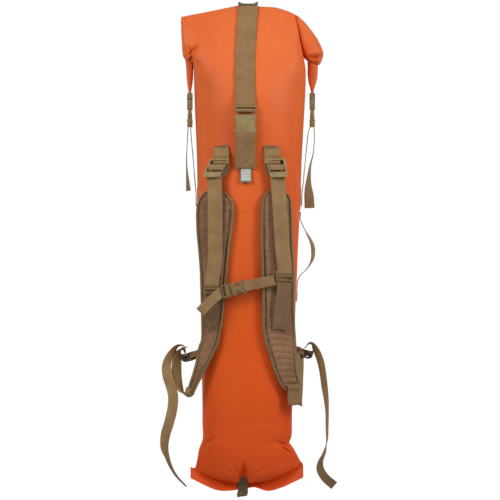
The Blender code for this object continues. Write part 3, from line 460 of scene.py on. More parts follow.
FABRIC = coated_fabric()
STRAP = webbing("webbing", (0.270, 0.142, 0.050), (0.420, 0.240, 0.094))
STRAP_LIGHT = webbing("webbing_loose", (0.310, 0.172, 0.066), (0.480, 0.292, 0.118), low_painted_shade=True)
STRAP_SEWN = webbing("webbing_sewn_down", (0.175, 0.092, 0.042), (0.290, 0.160, 0.076))
BINDING = webbing("binding_tape", (0.230, 0.140, 0.058), (0.360, 0.240, 0.104), 0.0012, 0.0010)
THREAD = webbing("thread", (0.10, 0.060, 0.028), (0.19, 0.125, 0.062), 0.0006, 0.0009, 0.1)
PAD = pad_fabric()
SMALL_PLASTIC = moulded_plastic("small_buckle_plastic", (0.150, 0.104, 0.044), (0.270, 0.195, 0.086))
PLASTIC = moulded_plastic("buckle_plastic", (0.255, 0.175, 0.068), (0.400, 0.292, 0.124))
DARK_PLASTIC = moulded_plastic("lower_lock_plastic", (0.045, 0.036, 0.024), (0.090, 0.072, 0.046))
STIFF = moulded_plastic("stiffener_strip", (0.018, 0.018, 0.018), (0.035, 0.035, 0.035), 0.5)
LABEL = woven_label()


# ---- straps -------------------------------------------------------------------------

# share of the half width, and of the half thickness, round one side of a strap's section
STRAP_SIDE = [(-1.0, 0.0), (-0.975, 0.75), (-0.90, 1.05), (-0.55, 0.95), (-0.2, 1.0), (0.2, 1.0),
              (0.55, 0.95), (0.90, 1.05), (0.975, 0.75), (1.0, 0.0)]


def strap(name, centres, across, width, mat=None, thick=WEB, squeeze=None, ripple=0.0, seed=0):
    """Flat webbing along centres, with raised woven edges. squeeze(share) scales its width on the way."""
    centres = [Vector(p) for p in centres]
    if isinstance(across, Vector):
        across = [across] * len(centres)
    bm = bmesh.new()
    uv = bm.loops.layers.uv.new("UVMap")
    section = STRAP_SIDE + [(u, -t) for u, t in STRAP_SIDE[-2:0:-1]]
    rings, run, lengths = [], 0.0, []
    for i, centre in enumerate(centres):
        ahead = centres[min(i + 1, len(centres) - 1)]
        behind = centres[max(i - 1, 0)]
        if i:
            run += (centre - centres[i - 1]).length
        lengths.append(run)
        along = (ahead - behind).normalized()
        side = (across[i] - along * across[i].dot(along)).normalized()
        out = along.cross(side).normalized()
        half = width / 2 * (squeeze(i / (len(centres) - 1)) if squeeze else 1.0)
        ring = []
        for u, t in section:
            lift = ripple * wobble(u * 0.8, run * 28, seed, seed) if ripple else 0.0
            ring.append(bm.verts.new(centre + side * (u * half) + out * (t * thick / 2 + lift)))
        rings.append(ring)
    count = len(section)
    for k, (low, high) in enumerate(zip(rings, rings[1:])):
        for i in range(count):
            j = (i + 1) % count
            face = bm.faces.new((low[i], low[j], high[j], high[i]))
            for loop, (index, run_at) in zip(face.loops, ((i, k), (j, k), (j, k + 1), (i, k + 1))):
                loop[uv].uv = (section[index][0] * width / 2, lengths[run_at])
    bm.faces.new(rings[0])
    bm.faces.new(rings[-1])
    return finish_mesh(name, bm, mat or STRAP, 50)


def free_strap(name, route, twist, width, mat=None, steps=9, **more):
    """A strap on a smooth route, and the route's points."""
    centres = smooth_through(route, steps)
    return strap(name, centres, smooth_through(twist, steps), width, mat, **more), centres


def stitches(name, lines, out, mat=None, pitch=0.0032, length=0.0023, radius=0.00035):
    """Raised thread along straight lines, each given by its two ends, lying on a surface."""
    bm = bmesh.new()
    out = Vector(out).normalized()
    for start, end in lines:
        start, end = Vector(start), Vector(end)
        along = (end - start).normalized()
        side = along.cross(out).normalized()
        count = max(int((end - start).length / pitch), 1)
        for k in range(count):
            base = start + along * (pitch * (k + 0.2))
            rings = []
            for share, size in ((0, 0.3), (0.25, 1), (0.75, 1), (1, 0.3)):
                middle = base + along * (length * share)
                rings.append([bm.verts.new(middle + side * (radius * 1.5 * size * cos(a))
                                           + out * (radius * size * sin(a)))
                              for a in (0, pi / 3, 2 * pi / 3, pi, 4 * pi / 3, 5 * pi / 3)])
            bridge(bm, rings)
    bm.loops.layers.uv.new("UVMap")
    return finish_mesh(name, bm, mat or THREAD)


def stitch_box(name, centre, u, v, half_u, half_v, out, cross=True):
    """The square of stitching, crossed or not, that fastens a strap's end."""
    centre, u, v = Vector(centre), Vector(u).normalized(), Vector(v).normalized()
    corner = [centre + u * (a * half_u) + v * (b * half_v) for a, b in ((-1, -1), (1, -1), (1, 1), (-1, 1))]
    lines = [(corner[i], corner[(i + 1) % 4]) for i in range(4)]
    if cross:
        lines += [(corner[0], corner[2]), (corner[1], corner[3])]
    return stitches(name, lines, out)


# ---- loose ends ---------------------------------------------------------------------

SIDE_TAILS = {
    "right": (
        [(0.1608, 0.110, 0.0987), (0.1612, 0.110, 0.080), (0.1618, 0.109, 0.055),
         (0.1606, 0.108, 0.030), (0.1575, 0.107, 0.010), (0.1520, 0.106, -0.012),
         (0.1485, 0.105, -0.040), (0.1470, 0.104, -0.065), (0.1485, 0.103, -0.090),
         (0.1500, 0.102, -0.119)],
        [(0, 1, 0), (0, 1, 0), (0, 1, 0), (0.02, 1, 0), (0.05, 1, 0), (0.15, 1, 0),
         (0.35, 0.93, 0), (0.65, 0.75, 0), (0.95, 0.30, 0), (1, 0.10, 0)],
    ),
    "left": (
        [(-0.1521, 0.110, 0.0987), (-0.1526, 0.110, 0.080), (-0.1538, 0.109, 0.055),
         (-0.1552, 0.109, 0.030), (-0.1560, 0.108, 0.005), (-0.1556, 0.108, -0.020),
         (-0.1540, 0.107, -0.045), (-0.1515, 0.106, -0.076)],
        [(0, 1, 0), (0, 1, 0), (0, 1, 0), (-0.02, 1, 0), (-0.05, 1, 0), (-0.10, 1, 0),
         (-0.25, 0.95, 0), (-0.45, 0.88, 0)],
    ),
}
LOWER_TAILS = {
    "left": (
        [(-0.1590, 0.1000, -0.4640), (-0.1690, 0.0940, -0.4610), (-0.1820, 0.0860, -0.4665),
         (-0.1965, 0.0780, -0.4850), (-0.2050, 0.0720, -0.5090), (-0.2030, 0.0670, -0.5350),
         (-0.1950, 0.0630, -0.5600), (-0.1890, 0.0600, -0.5860), (-0.1905, 0.0580, -0.6150),
         (-0.1985, 0.0570, -0.6500), (-0.2075, 0.0580, -0.6800), (-0.2105, 0.0600, -0.7100),
         (-0.2040, 0.0630, -0.7350), (-0.1950, 0.0650, -0.7600), (-0.1800, 0.0660, -0.7850),
         (-0.1560, 0.0660, -0.8100)],
        [(0, 1, 0), (0.1, 1, 0), (0.35, 0.9, -0.2), (0.6, 0.75, -0.4), (0.9, 0.4, -0.2),
         (1, 0.1, 0.1), (1, 0, 0.3), (1, 0, 0.2), (1, 0, -0.1), (0.95, 0.15, -0.25),
         (0.9, 0.3, -0.2), (0.75, 0.60, 0.15), (0.42, 0.90, 0.15), (0.24, 0.96, 0.12),
         (0.14, 0.98, 0.06), (0.06, 1, 0)],
    ),
    "right": (
        [(0.1400, 0.1000, -0.4640), (0.1480, 0.0950, -0.4570), (0.1570, 0.0900, -0.4590),
         (0.1680, 0.0840, -0.4760), (0.1770, 0.0790, -0.5000), (0.1825, 0.0750, -0.5280),
         (0.1865, 0.0720, -0.5600), (0.1905, 0.0700, -0.5900), (0.1930, 0.0690, -0.6250),
         (0.1930, 0.0690, -0.6600), (0.1925, 0.0690, -0.6950), (0.1865, 0.0700, -0.7250),
         (0.1765, 0.0710, -0.7500), (0.1770, 0.0710, -0.7700), (0.1900, 0.0700, -0.7900),
         (0.2110, 0.0690, -0.8080)],
        [(0, 1, 0), (-0.1, 1, 0), (-0.3, 0.9, -0.2), (-0.55, 0.8, -0.3), (-0.65, 0.75, -0.2),
         (-0.62, 0.78, 0), (-0.6, 0.8, 0), (-0.48, 0.88, 0), (-0.30, 0.95, 0), (-0.24, 0.97, 0),
         (-0.10, 1, 0), (0.32, 0.94, 0.1), (0.55, 0.82, 0.1), (0.75, 0.62, 0.15), (0.70, 0.50, 0.40),
         (0.58, 0.45, 0.60)],
    ),
}


for side in SIDES:
    for kind, table, body in (("side_tail", SIDE_TAILS, f"side_latch_{side}"),
                              ("lower_tail", LOWER_TAILS, "bag")):
        route, twist = table[side]
        tail, line = free_strap(f"{kind}_{side}_webbing", route, twist, NARROW_WEB,
                                STRAP if kind == "side_tail" else STRAP_LIGHT, 8)
        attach(tail, body)
        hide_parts(f"{kind}_{side}")

# ---- the bag's skin -----------------------------------------------------------------

FIN_CREASE_Z = -0.8035      # where the body meets the flat fin, in the middle
FIN_LIFT_TOP = -0.700       # above this height the rows are level

# x, height of the crease above the fin, height of the fin's lower edge
FIN_CURVE = [
    (-0.1470, -0.7625, -0.7900), (-0.1208, -0.7800, -0.8033), (-0.0878, -0.7925, -0.8180),
    (-0.0652, -0.7990, -0.8222), (-0.0300, -0.8040, -0.8196), (0.0040, -0.8045, -0.8140),
    (0.0134, -0.8040, -0.8130), (0.0464, -0.7985, -0.8222), (0.0816, -0.7870, -0.8134),
    (0.1090, -0.7740, -0.8010), (0.1345, -0.7590, -0.7885),
]

# height, left edge, right edge, half depth, sharpness of the sides (0 lens to 1 oval)
BOTTOM_ROWS = [
    (-0.8035, -0.1465, 0.1342, 0.0026, 0.0), (-0.8000, -0.1405, 0.1338, 0.0195, 0.0),
    (-0.7920, -0.1348, 0.1328, 0.0345, 0.02), (-0.7820, -0.1330, 0.1302, 0.0415, 0.08),
    (-0.7680, -0.1312, 0.1258, 0.0460, 0.18), (-0.7560, -0.1296, 0.1225, 0.0485, 0.30),
    (-0.7400, -0.1276, 0.1180, 0.0510, 0.45), (-0.7240, -0.1256, 0.1120, 0.0530, 0.65),
    (-0.7120, -0.1224, 0.1060, 0.0545, 0.78), (-0.7020, -0.1186, 0.1000, 0.0555, 0.86),
    (-0.6880, -0.1156, 0.1050, 0.0572, 0.94), (-0.6600, -0.1165, 0.1064, 0.0615, 1.0),
]

# front skin and back skin (y, z), left and right ends: the mouth and the roll above it
TOP_ROWS = [
    (0.0660, 0.3250, 0.1550, 0.3250), (0.0710, 0.3370, 0.1490, 0.3365), (0.0775, 0.3490, 0.1425, 0.3430),
    (0.0845, 0.3580, 0.1370, 0.3465), (0.0910, 0.3665, 0.1330, 0.3490), (0.0945, 0.3735, 0.1300, 0.3500),
    (0.0995, 0.3800, 0.1285, 0.3505), (0.1055, 0.3845, 0.1275, 0.3505), (0.1120, 0.3860, 0.1268, 0.3503),
    (0.1185, 0.3848, 0.1262, 0.3500), (0.1245, 0.3812, 0.1257, 0.3497), (0.1295, 0.3755, 0.1252, 0.3494),
    (0.1318, 0.3690, 0.1248, 0.3491), (0.1318, 0.3620, 0.1244, 0.3488), (0.1295, 0.3555, 0.1240, 0.3485),
    (0.1262, 0.3515, 0.1238, 0.3484),
]
SKIN_AROUND, FIN_RINGS = 300, 9
MOUTH_SPLIT = 12            # rows of the roll that stay closed at both ends


def section_at(z):
    for (z0, w0, d0), (z1, w1, d1) in zip(BAG_SECTIONS, BAG_SECTIONS[1:]):
        if z <= z1:
            t = max((z - z0) / (z1 - z0), 0.0)
            return w0 + (w1 - w0) * t, d0 + (d1 - d0) * t
    return BAG_SECTIONS[-1][1:]


def front_line(z):
    return MID_Y - section_at(z)[1] / 2


def front_skin(x, z):
    width, depth = section_at(z)
    across = min(abs(x - LEAN * z) / (width / 2), 1.0)
    return MID_Y - depth / 2 * (1 - across**POWER) ** (1 / POWER)


def side_face(z, side):
    half = section_at(z)[0] / 2
    return LEAN * z + (half if side == "right" else -half)


def droop(x):
    """How far the roll sags below its middle."""
    if x > 0.020:
        return 2.55 * (x - 0.020) ** 2
    return 0.205 * max(-x - 0.028, 0.0)


# height, left edge, right edge of the front panel near the mouth
MOUTH_EDGES = [
    (0.150, -0.1360, 0.1388), (0.200, -0.1390, 0.1405), (0.232, -0.1405, 0.1400), (0.247, -0.1470, 0.1385),
    (0.258, -0.1570, 0.1372), (0.268, -0.1632, 0.1360), (0.285, -0.1662, 0.1338), (0.320, -0.1680, 0.1285),
    (0.350, -0.1694, 0.1225), (0.400, -0.1694, 0.1190),
]


def skin_rows():
    """(front y, z), (back y, z), left, right, sharpness and squareness of every row, bottom to top."""
    rows = []
    for t in np.linspace(0, 1, FIN_RINGS):
        rows.append(("fin", float(t), None))
    z = FIN_CREASE_Z
    while z < 0.312:
        z += 0.0034 if z < -0.66 else 0.0046
        if z < -0.660:
            left, right, half, oval = lerp_rows(BOTTOM_ROWS, z)
        else:
            width, depth = lerp_rows(BAG_SECTIONS, z)
            left, right, half, oval = LEAN * z - width / 2, LEAN * z + width / 2, depth / 2, 1.0
        square = POWER
        if z > 0.15:
            edge_left, edge_right = lerp_rows(MOUTH_EDGES, z)
            left, right = max(left, edge_left), min(right, edge_right)
            if z > 0.25:
                left = edge_left
            square = POWER + 3.2 * smooth_step(z, 0.16, 0.34)
        rows.append(("body", z, (MID_Y - half, z, MID_Y + half, z, left, right, oval, square)))
    front = smooth_through([(0, a, b) for a, b, _, _ in TOP_ROWS], 3)
    back = smooth_through([(0, c, d) for _, _, c, d in TOP_ROWS], 3)
    for k, (f, b) in enumerate(zip(front, back)):
        share = min(k / 12, 1.0)
        edge_left, edge_right = lerp_rows(MOUTH_EDGES, min(f.z, 0.36) if k < 24 else 0.36)
        rows.append(("roll", f.z, (f.y, f.z, b.y, b.z, edge_left, edge_right, 1.0, 5.5 + 10 * share)))
    return rows


def fold(x, z, y_side):
    """How far a creased place stands in (negative) or out of the smooth skin, in metres."""
    depth = 0.0
    # fan of folds above the sewn loop
    if y_side < 0:
        for lean, width, deep in ((0.05, 0.0165, 0.0240), (-0.60, 0.010, 0.0034), (0.62, 0.011, 0.0036),
                                  (-1.30, 0.012, 0.0022), (1.45, 0.012, 0.0024)):
            line = BOTTOM_LOOP_X + 0.0005 + lean * (z + 0.800)
            spread = width * (0.30 + 0.70 * smooth_step(z, -0.738, -0.800))
            depth -= deep * bump(x, line, spread) * smooth_step(z, -0.738, -0.785)
        # pull lines from the harness anchors
        for ax, az, lean in ((0.057, 0.030, 0.4), (-0.072, 0.030, -0.4), (-0.0095, -0.02, 0.0)):
            depth -= 0.0010 * bump(x, ax + lean * (z - az) * 0.3, 0.020) * bump(z, az - 0.03, 0.07)
        # creases that run down from the roll's ends
        fold_x = -0.121 - 0.72 * (0.300 - z)
        side_of = smooth_step(x, fold_x - 0.0035, fold_x + 0.0015)
        depth -= 0.0120 * (1 - side_of) * smooth_step(z, 0.238, 0.256) * (1 - smooth_step(z, 0.280, 0.318))
        depth += 0.0040 * bump(x, fold_x + 0.0040, 0.006) * bump(z, 0.272, 0.045)
        depth -= 0.0085 * bump(x, fold_x - 0.0105, 0.0085) * bump(z, 0.284, 0.022)
        depth -= 0.0040 * bump(x, -0.1455 + 0.28 * (0.282 - z), 0.0050) * bump(z, 0.284, 0.030)
        depth -= 0.0012 * bump(x, -0.150 + 0.35 * (0.345 - z), 0.010) * bump(z, 0.330, 0.030)
        depth += 0.0012 * bump(x, 0.100 + 0.25 * (0.34 - z), 0.018) * bump(z, 0.295, 0.070)
    # wrinkles down both edges of the lower body
    for sx, sz, lean, size, deep in (
            (0.086, -0.7060, -0.45, 0.0055, 0.0090), (0.092, -0.7200, -0.75, 0.0052, 0.0080),
            (0.098, -0.6950, -0.25, 0.0060, 0.0060), (-0.104, -0.7010, 0.55, 0.0065, 0.0080),
            (-0.112, -0.7160, 0.75, 0.0055, 0.0056), (-0.096, -0.7280, 0.9, 0.0060, 0.0020)):
        depth -= deep * bump(z - lean * (x - sx), sz, size) * bump(x, sx, 0.026) * reach_of(z)
    return depth


def reach_of(z):
    return smooth_step(z, -0.62, -0.69)


def make_skin():
    """The whole coated shell: fin, body, pinched mouth and the sheet that goes over the roll."""
    bm = bmesh.new()
    rings = []
    rows = skin_rows()
    for kind, level, data in rows:
        ring = []
        for angle in angles(SKIN_AROUND):
            cx, cy = cos(angle), sin(angle)
            sx, sy = (1 if cx >= 0 else -1), (1 if cy >= 0 else -1)
            if kind == "fin":
                x = -0.0061 + 0.1403 * cx
                crease, edge = lerp_rows(FIN_CURVE, x)
                z = edge + (crease - edge) * level
                curl = 0.0145 * (1 - level) ** 1.15 * (1 - 0.9 * bump(x, -0.0145, 0.034))
                curl += 0.0016 * wobble(x * 26, level, 1.0)
                pucker = 0.0040 * bump(x, -0.034, 0.008) * (0.4 + level) + 0.0024 * bump(x, 0.011, 0.010)
                y = MID_Y - curl - pucker + sy * (0.0012 + 0.0014 * level) * min(abs(cy) * 6, 1)
                ring.append(bm.verts.new((x, y, z)))
                continue
            fy, fz, by, bz, left, right, oval, square = data
            seam_y, seam_z = (fy + by) / 2, (fz + bz) / 2
            end, end_z = (fy, fz) if sy < 0 else (by, bz)
            fx = abs(cx) ** (2 / square)
            q = 1.0 + (square - 1.0) * oval
            f = (1 - fx**square) ** (1 / q) if fx < 1 else 0.0
            x = (left + right) / 2 + (right - left) / 2 * fx * sx
            if kind == "body" and sy < 0 and x < 0 and level > 0.230:
                # the left ear starts at a diagonal crease, and right of it the body keeps its own edge
                crease_x = -0.1117 - 0.69 * (0.3155 - level)
                body_left = 0.1415 + 0.08 * (level - 0.230)
                f_body = max((1 - min(-x / body_left, 1.0) ** q) ** (1 / q), 0.60 * f)
                share = smooth_step(x, crease_x - 0.0020, crease_x + 0.0020)
                share *= smooth_step(level, 0.232, 0.246)
                f += (f_body - f) * share * (1 - smooth_step(level, 0.298, 0.325))
            y = seam_y + (end - seam_y) * f
            z = seam_z + (end_z - seam_z) * f
            if level < FIN_LIFT_TOP:
                crease, _ = lerp_rows(FIN_CURVE, x)
                fade = ((FIN_LIFT_TOP - level) / (FIN_LIFT_TOP - FIN_CREASE_Z)) ** 1.4
                z += (crease - FIN_CREASE_Z) * fade
            if kind == "body":
                soft = smooth_step(z, -0.80, -0.72)
                swell = 0.0016 * wobble(x * 9, sy * 2.0, z * 6, 1)
                swell += 0.0009 * wobble(x * 24, sy * 3, z * 14, 2)
                top = smooth_step(z, 0.13, 0.30)
                drape = 0.0014 * wobble(x * 30, sy, z * 4, 3) * top
                y += sy * (swell + drape) * soft * min(f * 1.6, 1)
                y += sy * fold(x, z, sy) * min(f * 1.5, 1)
            if z > 0.20:
                z -= droop(x) * smooth_step(z, 0.205, 0.335)
            if kind == "roll":
                y += 0.0006 * wobble(x * 22, z * 30, sy, 4)
                z += 0.0008 * wobble(x * 18, 2.0, sy, 5)
            ring.append(bm.verts.new((x, y, z)))
        rings.append(ring)
    open_from = next(i for i, row in enumerate(rows) if row[0] == "roll") + MOUTH_SPLIT
    quarter = SKIN_AROUND // 4
    ends = {0, SKIN_AROUND - 1, 2 * quarter - 1, 2 * quarter}
    for index, (low, high) in enumerate(zip(rings, rings[1:])):
        for i in range(SKIN_AROUND):
            j = (i + 1) % SKIN_AROUND
            if index >= open_from and i in ends:
                continue
            bm.faces.new((low[i], low[j], high[j], high[i]))
    # close the fin's lower edge and the seam under the roll
    for ring in (rings[0], rings[-1]):
        for i in range(1, SKIN_AROUND // 2):
            bm.faces.new(tuple(dict.fromkeys((ring[i], ring[i + 1], ring[-i - 1], ring[-i]))))
    return finish_mesh("bag_skin", bm, FABRIC, 55)


bend(make_skin(), "coated_fabric", ("bag", "closure"), (0.215, 0.340), "bag_shell")


def make_roll_layers():
    """The rolled layers that show at both ends of the roll."""
    bm = bmesh.new()
    steps, thick, turns, pitch = 96, 0.0016, 2.6, 0.0050
    outline_in, outline_out = [], []
    for k in range(steps + 1):
        turned = 2 * pi * turns * k / steps
        radius = ROLL_RADIUS - 0.0012 - pitch * turned / (2 * pi)
        angle = radians(205) - turned
        for offset, store in ((thick / 2, outline_out), (-thick / 2, outline_in)):
            store.append((ROLL_Y + (radius + offset) * cos(angle), ROLL_Z + (radius + offset) * sin(angle)))
    outline = outline_out + outline_in[::-1]
    left, right, columns = -0.1685, 0.1195, 30
    rings = []
    for k in range(columns + 1):
        x = left + (right - left) * k / columns
        rings.append([bm.verts.new((x, y + 0.0007 * wobble(x * 20, y * 90, z * 90), z - droop(x)))
                      for y, z in outline])
    bridge(bm, rings, caps=False)
    count = len(outline_out)
    for ring in (rings[0], rings[-1]):
        for i in range(count - 1):
            bm.faces.new((ring[i], ring[i + 1], ring[2 * count - 2 - i], ring[2 * count - 1 - i]))
    return finish_mesh("roll_layers", bm, FABRIC, 40)


settle(make_roll_layers(), "coated_fabric", "closure", "rolled_collar")

# (height, inner x, outer x, front y, back y) of each folded ear
EARS = {
    "right": [
        (0.3600, 0.1165, 0.1200, 0.098, 0.122), (0.3520, 0.1165, 0.1290, 0.090, 0.130),
        (0.3420, 0.1180, 0.1390, 0.084, 0.136), (0.3300, 0.1200, 0.1490, 0.080, 0.141),
        (0.3170, 0.1220, 0.1590, 0.077, 0.145), (0.3030, 0.1245, 0.1685, 0.075, 0.148),
        (0.2880, 0.1270, 0.1765, 0.074, 0.150), (0.2760, 0.1290, 0.1815, 0.074, 0.150),
        (0.2660, 0.1310, 0.1842, 0.075, 0.149), (0.2570, 0.1345, 0.1830, 0.078, 0.146),
        (0.2490, 0.1420, 0.1805, 0.083, 0.140), (0.2430, 0.1520, 0.1780, 0.090, 0.131),
        (0.2375, 0.1620, 0.1745, 0.099, 0.121),
    ],
    "left": [
        (0.3575, -0.1690, -0.1630, 0.098, 0.124), (0.3480, -0.1697, -0.1590, 0.090, 0.131),
        (0.3350, -0.1692, -0.1550, 0.083, 0.138), (0.3200, -0.1685, -0.1510, 0.078, 0.143),
        (0.3050, -0.1680, -0.1470, 0.075, 0.147), (0.2900, -0.1672, -0.1430, 0.074, 0.149),
        (0.2780, -0.1660, -0.1400, 0.075, 0.149), (0.2690, -0.1650, -0.1380, 0.077, 0.147),
        (0.2610, -0.1620, -0.1380, 0.081, 0.142), (0.2530, -0.1580, -0.1400, 0.086, 0.136),
        (0.2450, -0.1545, -0.1425, 0.092, 0.130), (0.2380, -0.1515, -0.1450, 0.099, 0.121),
    ],
}
EAR_AROUND, EAR_LEVELS = 48, 46


def make_ear(side):
    """The end of the roll, folded down over the bag's side: a soft three-cornered flap."""
    rows = sorted(EARS[side])
    sign = sign_of(side)
    levels = np.linspace(rows[0][0], rows[-1][0], EAR_LEVELS)
    bm = bmesh.new()
    rings = []
    for z in levels:
        x0, x1, y0, y1 = lerp_rows(rows, float(z))
        share = (z - levels[0]) / (levels[-1] - levels[0])
        ring = []
        for angle in angles(EAR_AROUND):
            u, v = squared(cos(angle), 0.75), squared(sin(angle), 0.75)
            sy = 1 if v >= 0 else -1
            x = (x0 + x1) / 2 + (x1 - x0) / 2 * u
            y = (y0 + y1) / 2 + (y1 - y0) / 2 * v
            out = x * sign - 0.14
            # radial folds that gather towards the tab
            gather = 1 - smooth_step(share, 0.0, 0.55)
            ray = atan2(x - 0.166 * sign, max(z - 0.225, 0.002))
            y += sy * 0.0026 * gather * sin(ray * 9.0 + 0.7 * sy)
            y += sy * 0.0030 * wobble(x * 32, sy, z * 26, 6) * (1 - abs(u) ** 4)
            x += sign * 0.0014 * wobble(y * 40, z * 30, 3.0, 7) * (1 if u * sign > 0 else 0)
            if sy < 0:
                y -= 0.0065 * bump(out, 0.022, 0.020) * bump(z, 0.272, 0.050)
                y += 0.0100 * bump(z, 0.2520 + 0.10 * out, 0.0060) * smooth_step(out, 0.006, 0.016)
                y -= 0.0040 * bump(z, 0.2640 + 0.10 * out, 0.0090) * smooth_step(out, 0.000, 0.012)
            ring.append(bm.verts.new((x, y, z)))
        rings.append(ring)
    bridge(bm, rings)
    return finish_mesh(f"ear_{side}_fold", bm, FABRIC, 60)


# (height, centre x, half width, half thickness) of the tapered tabs that hold the side buckles
TABS = {
    "right": [
        (0.2640, 0.1560, 0.0190, 0.0120), (0.2450, 0.1572, 0.0175, 0.0122), (0.2300, 0.1576, 0.0160, 0.0122),
        (0.2150, 0.1576, 0.0145, 0.0118), (0.2000, 0.1574, 0.0132, 0.0104), (0.1870, 0.1570, 0.0124, 0.0078),
        (0.1770, 0.1567, 0.0120, 0.0048), (0.1725, 0.1567, 0.0120, 0.0037),
    ],
    "left": [
        (0.2640, -0.1500, 0.0190, 0.0110), (0.2450, -0.1490, 0.0175, 0.0096), (0.2300, -0.1484, 0.0160, 0.0086),
        (0.2150, -0.1481, 0.0145, 0.0080), (0.2000, -0.1480, 0.0132, 0.0072), (0.1870, -0.1480, 0.0124, 0.0060),
        (0.1770, -0.1480, 0.0120, 0.0044), (0.1725, -0.1480, 0.0120, 0.0037),
    ],
}
TAB_AROUND = 28


def make_tab(side):
    """Gathered fabric that narrows from the ear to the buckle's bar and wraps round it."""
    bar_z = SIDE_MOUTH_Z + SIDE_FEMALE - BAR_INSET
    rows = sorted(TABS[side])
    bm = bmesh.new()
    rings = []
    for z in np.linspace(bar_z - 0.0042, 0.2620, 34):
        z = float(z)
        cx, half, thick = lerp_rows(rows, z)
        if z < bar_z:
            thick = 0.0036 * max(1 - ((bar_z - z) / 0.0044) ** 2, 0.03) ** 0.5
        ring = []
        for angle in angles(TAB_AROUND):
            u, v = squared(cos(angle), 0.6), squared(sin(angle), 0.6)
            pleat = 1 + 0.09 * sin(angle * 7 + z * 60) * smooth_step(z, 0.176, 0.205)
            ring.append(bm.verts.new((cx + thick * u * pleat, MID_Y + half * v * (0.9 + 0.1 * pleat), z)))
        rings.append(ring)
    bridge(bm, rings)
    return finish_mesh(f"ear_{side}_tab", bm, FABRIC, 60)


for side in SIDES:
    settle(make_ear(side), "coated_fabric", "closure", f"ear_{side}")
    settle(make_tab(side), "coated_fabric", "closure", f"ear_tab_{side}")

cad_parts["closure_stiffener"].data.materials.clear()
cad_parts["closure_stiffener"].data.materials.append(STIFF)


# ---- moulded hardware ---------------------------------------------------------------


def rounded(points, radius, steps=4):
    """A closed outline with its corners rounded."""
    out = []
    count = len(points)
    for i in range(count):
        a, b, c = (Vector((*points[(i + k) % count], 0)) for k in (-1, 0, 1))
        r = min(radius, (a - b).length * 0.45, (c - b).length * 0.45)
        start, end = b + (a - b).normalized() * r, b + (c - b).normalized() * r
        for k in range(steps + 1):
            t = k / steps
            p = start * (1 - t) ** 2 + b * 2 * t * (1 - t) + end * t * t
            out.append((p.x, p.y))
    return out


def area_of(points):
    return sum(a[0] * b[1] - b[0] * a[1] for a, b in zip(points, points[1:] + points[:1])) / 2


def offset_outline(points, distance):
    """Moves an outline outwards by distance, or inwards if that is negative."""
    turn = 1 if area_of(points) > 0 else -1
    out = []
    count = len(points)
    for i in range(count):
        a, c = Vector((*points[i - 1], 0)), Vector((*points[(i + 1) % count], 0))
        along = (c - a).normalized()
        normal = Vector((along.y, -along.x, 0)) * turn
        out.append((points[i][0] + normal.x * distance, points[i][1] + normal.y * distance))
    return out


def plate(name, outline, holes, thickness, edge, matrix=None, mat=None, corner=0.0015):
    """A moulded plate with rounded edges and holes."""
    curve = bpy.data.curves.new(name, "CURVE")
    curve.dimensions = "2D"
    curve.fill_mode = "BOTH"
    curve.extrude = max(thickness / 2 - edge, 0.00005)
    curve.bevel_depth = edge
    curve.bevel_resolution = 2
    loops = [offset_outline(rounded(outline, corner), -edge)]
    loops += [offset_outline(rounded(hole, corner * 0.6), edge) for hole in holes]
    for points in loops:
        spline = curve.splines.new("POLY")
        spline.points.add(len(points) - 1)
        for point, (u, v) in zip(spline.points, points):
            point.co = (u, v, 0, 1)
        spline.use_cyclic_u = True
    holder = add_object(name, curve)
    mesh = evaluated_mesh(holder)
    bpy.data.objects.remove(holder, do_unlink=True)
    bm = bmesh.new()
    bm.from_mesh(mesh)
    bmesh.ops.remove_doubles(bm, verts=bm.verts, dist=1e-6)
    made = finish_mesh(name, bm, mat or PLASTIC, 32)
    if matrix is not None:
        made.data.transform(matrix)
    return made


def rectangle(u0, u1, v0, v1):
    return [(u0, v0), (u1, v0), (u1, v1), (u0, v1)]


def male_half(name, place, width, web, body, node, mat=None, deep=PLATE, near=0.0030):
    """Ladder frame with two prongs and a guide."""
    half = width / 2 - 0.0006
    prong, thick = width / 2 - 0.0050, 0.0046
    slot = web / 2 + 0.0006
    frame_part = plate(name + "_frame", rectangle(0.0006, MALE_FRAME, -half, half),
                       [rectangle(near, 0.0102, -slot, slot), rectangle(0.0138, 0.0200, -slot, slot)],
                       deep, 0.0010, place, mat, 0.0030)
    parts = [frame_part]
    for turn in (-1, 1):
        outline = [(0.0030, turn * prong), (-0.0120, turn * prong), (-0.0146, turn * (prong + 0.0034)),
                   (-0.0215, turn * (prong + 0.0034)), (-PRONG + 0.0004, turn * (prong - 0.0008)),
                   (-PRONG, turn * (prong - thick)),
                   (-0.006, turn * (prong - thick + 0.0010)), (0.0030, turn * (prong - thick - 0.0012))]
        parts.append(plate(name + "_prong", outline, [], PLATE - 0.0006, 0.0006, place, mat))
    parts.append(plate(name + "_guide", rectangle(-PRONG * 0.8, 0.0030, -0.0028, 0.0028), [],
                       PLATE - 0.0010, 0.0006, place, mat))
    if deep > PLATE:
        parts.append(plate(name + "_keeper", rectangle(MALE_FRAME - 0.001, MALE_FRAME + 0.0200, -half, half),
                           [], deep + 0.0036, 0.0024, place, mat, 0.0040))
        parts.append(plate(name + "_ridge", rectangle(MALE_FRAME + 0.0030, MALE_FRAME + 0.0062, -half, half),
                           [], deep + 0.0052, 0.0010, place, mat, 0.0020))
    settle(joined(name + "_moulding", parts), "buckle_plastic", body, node)


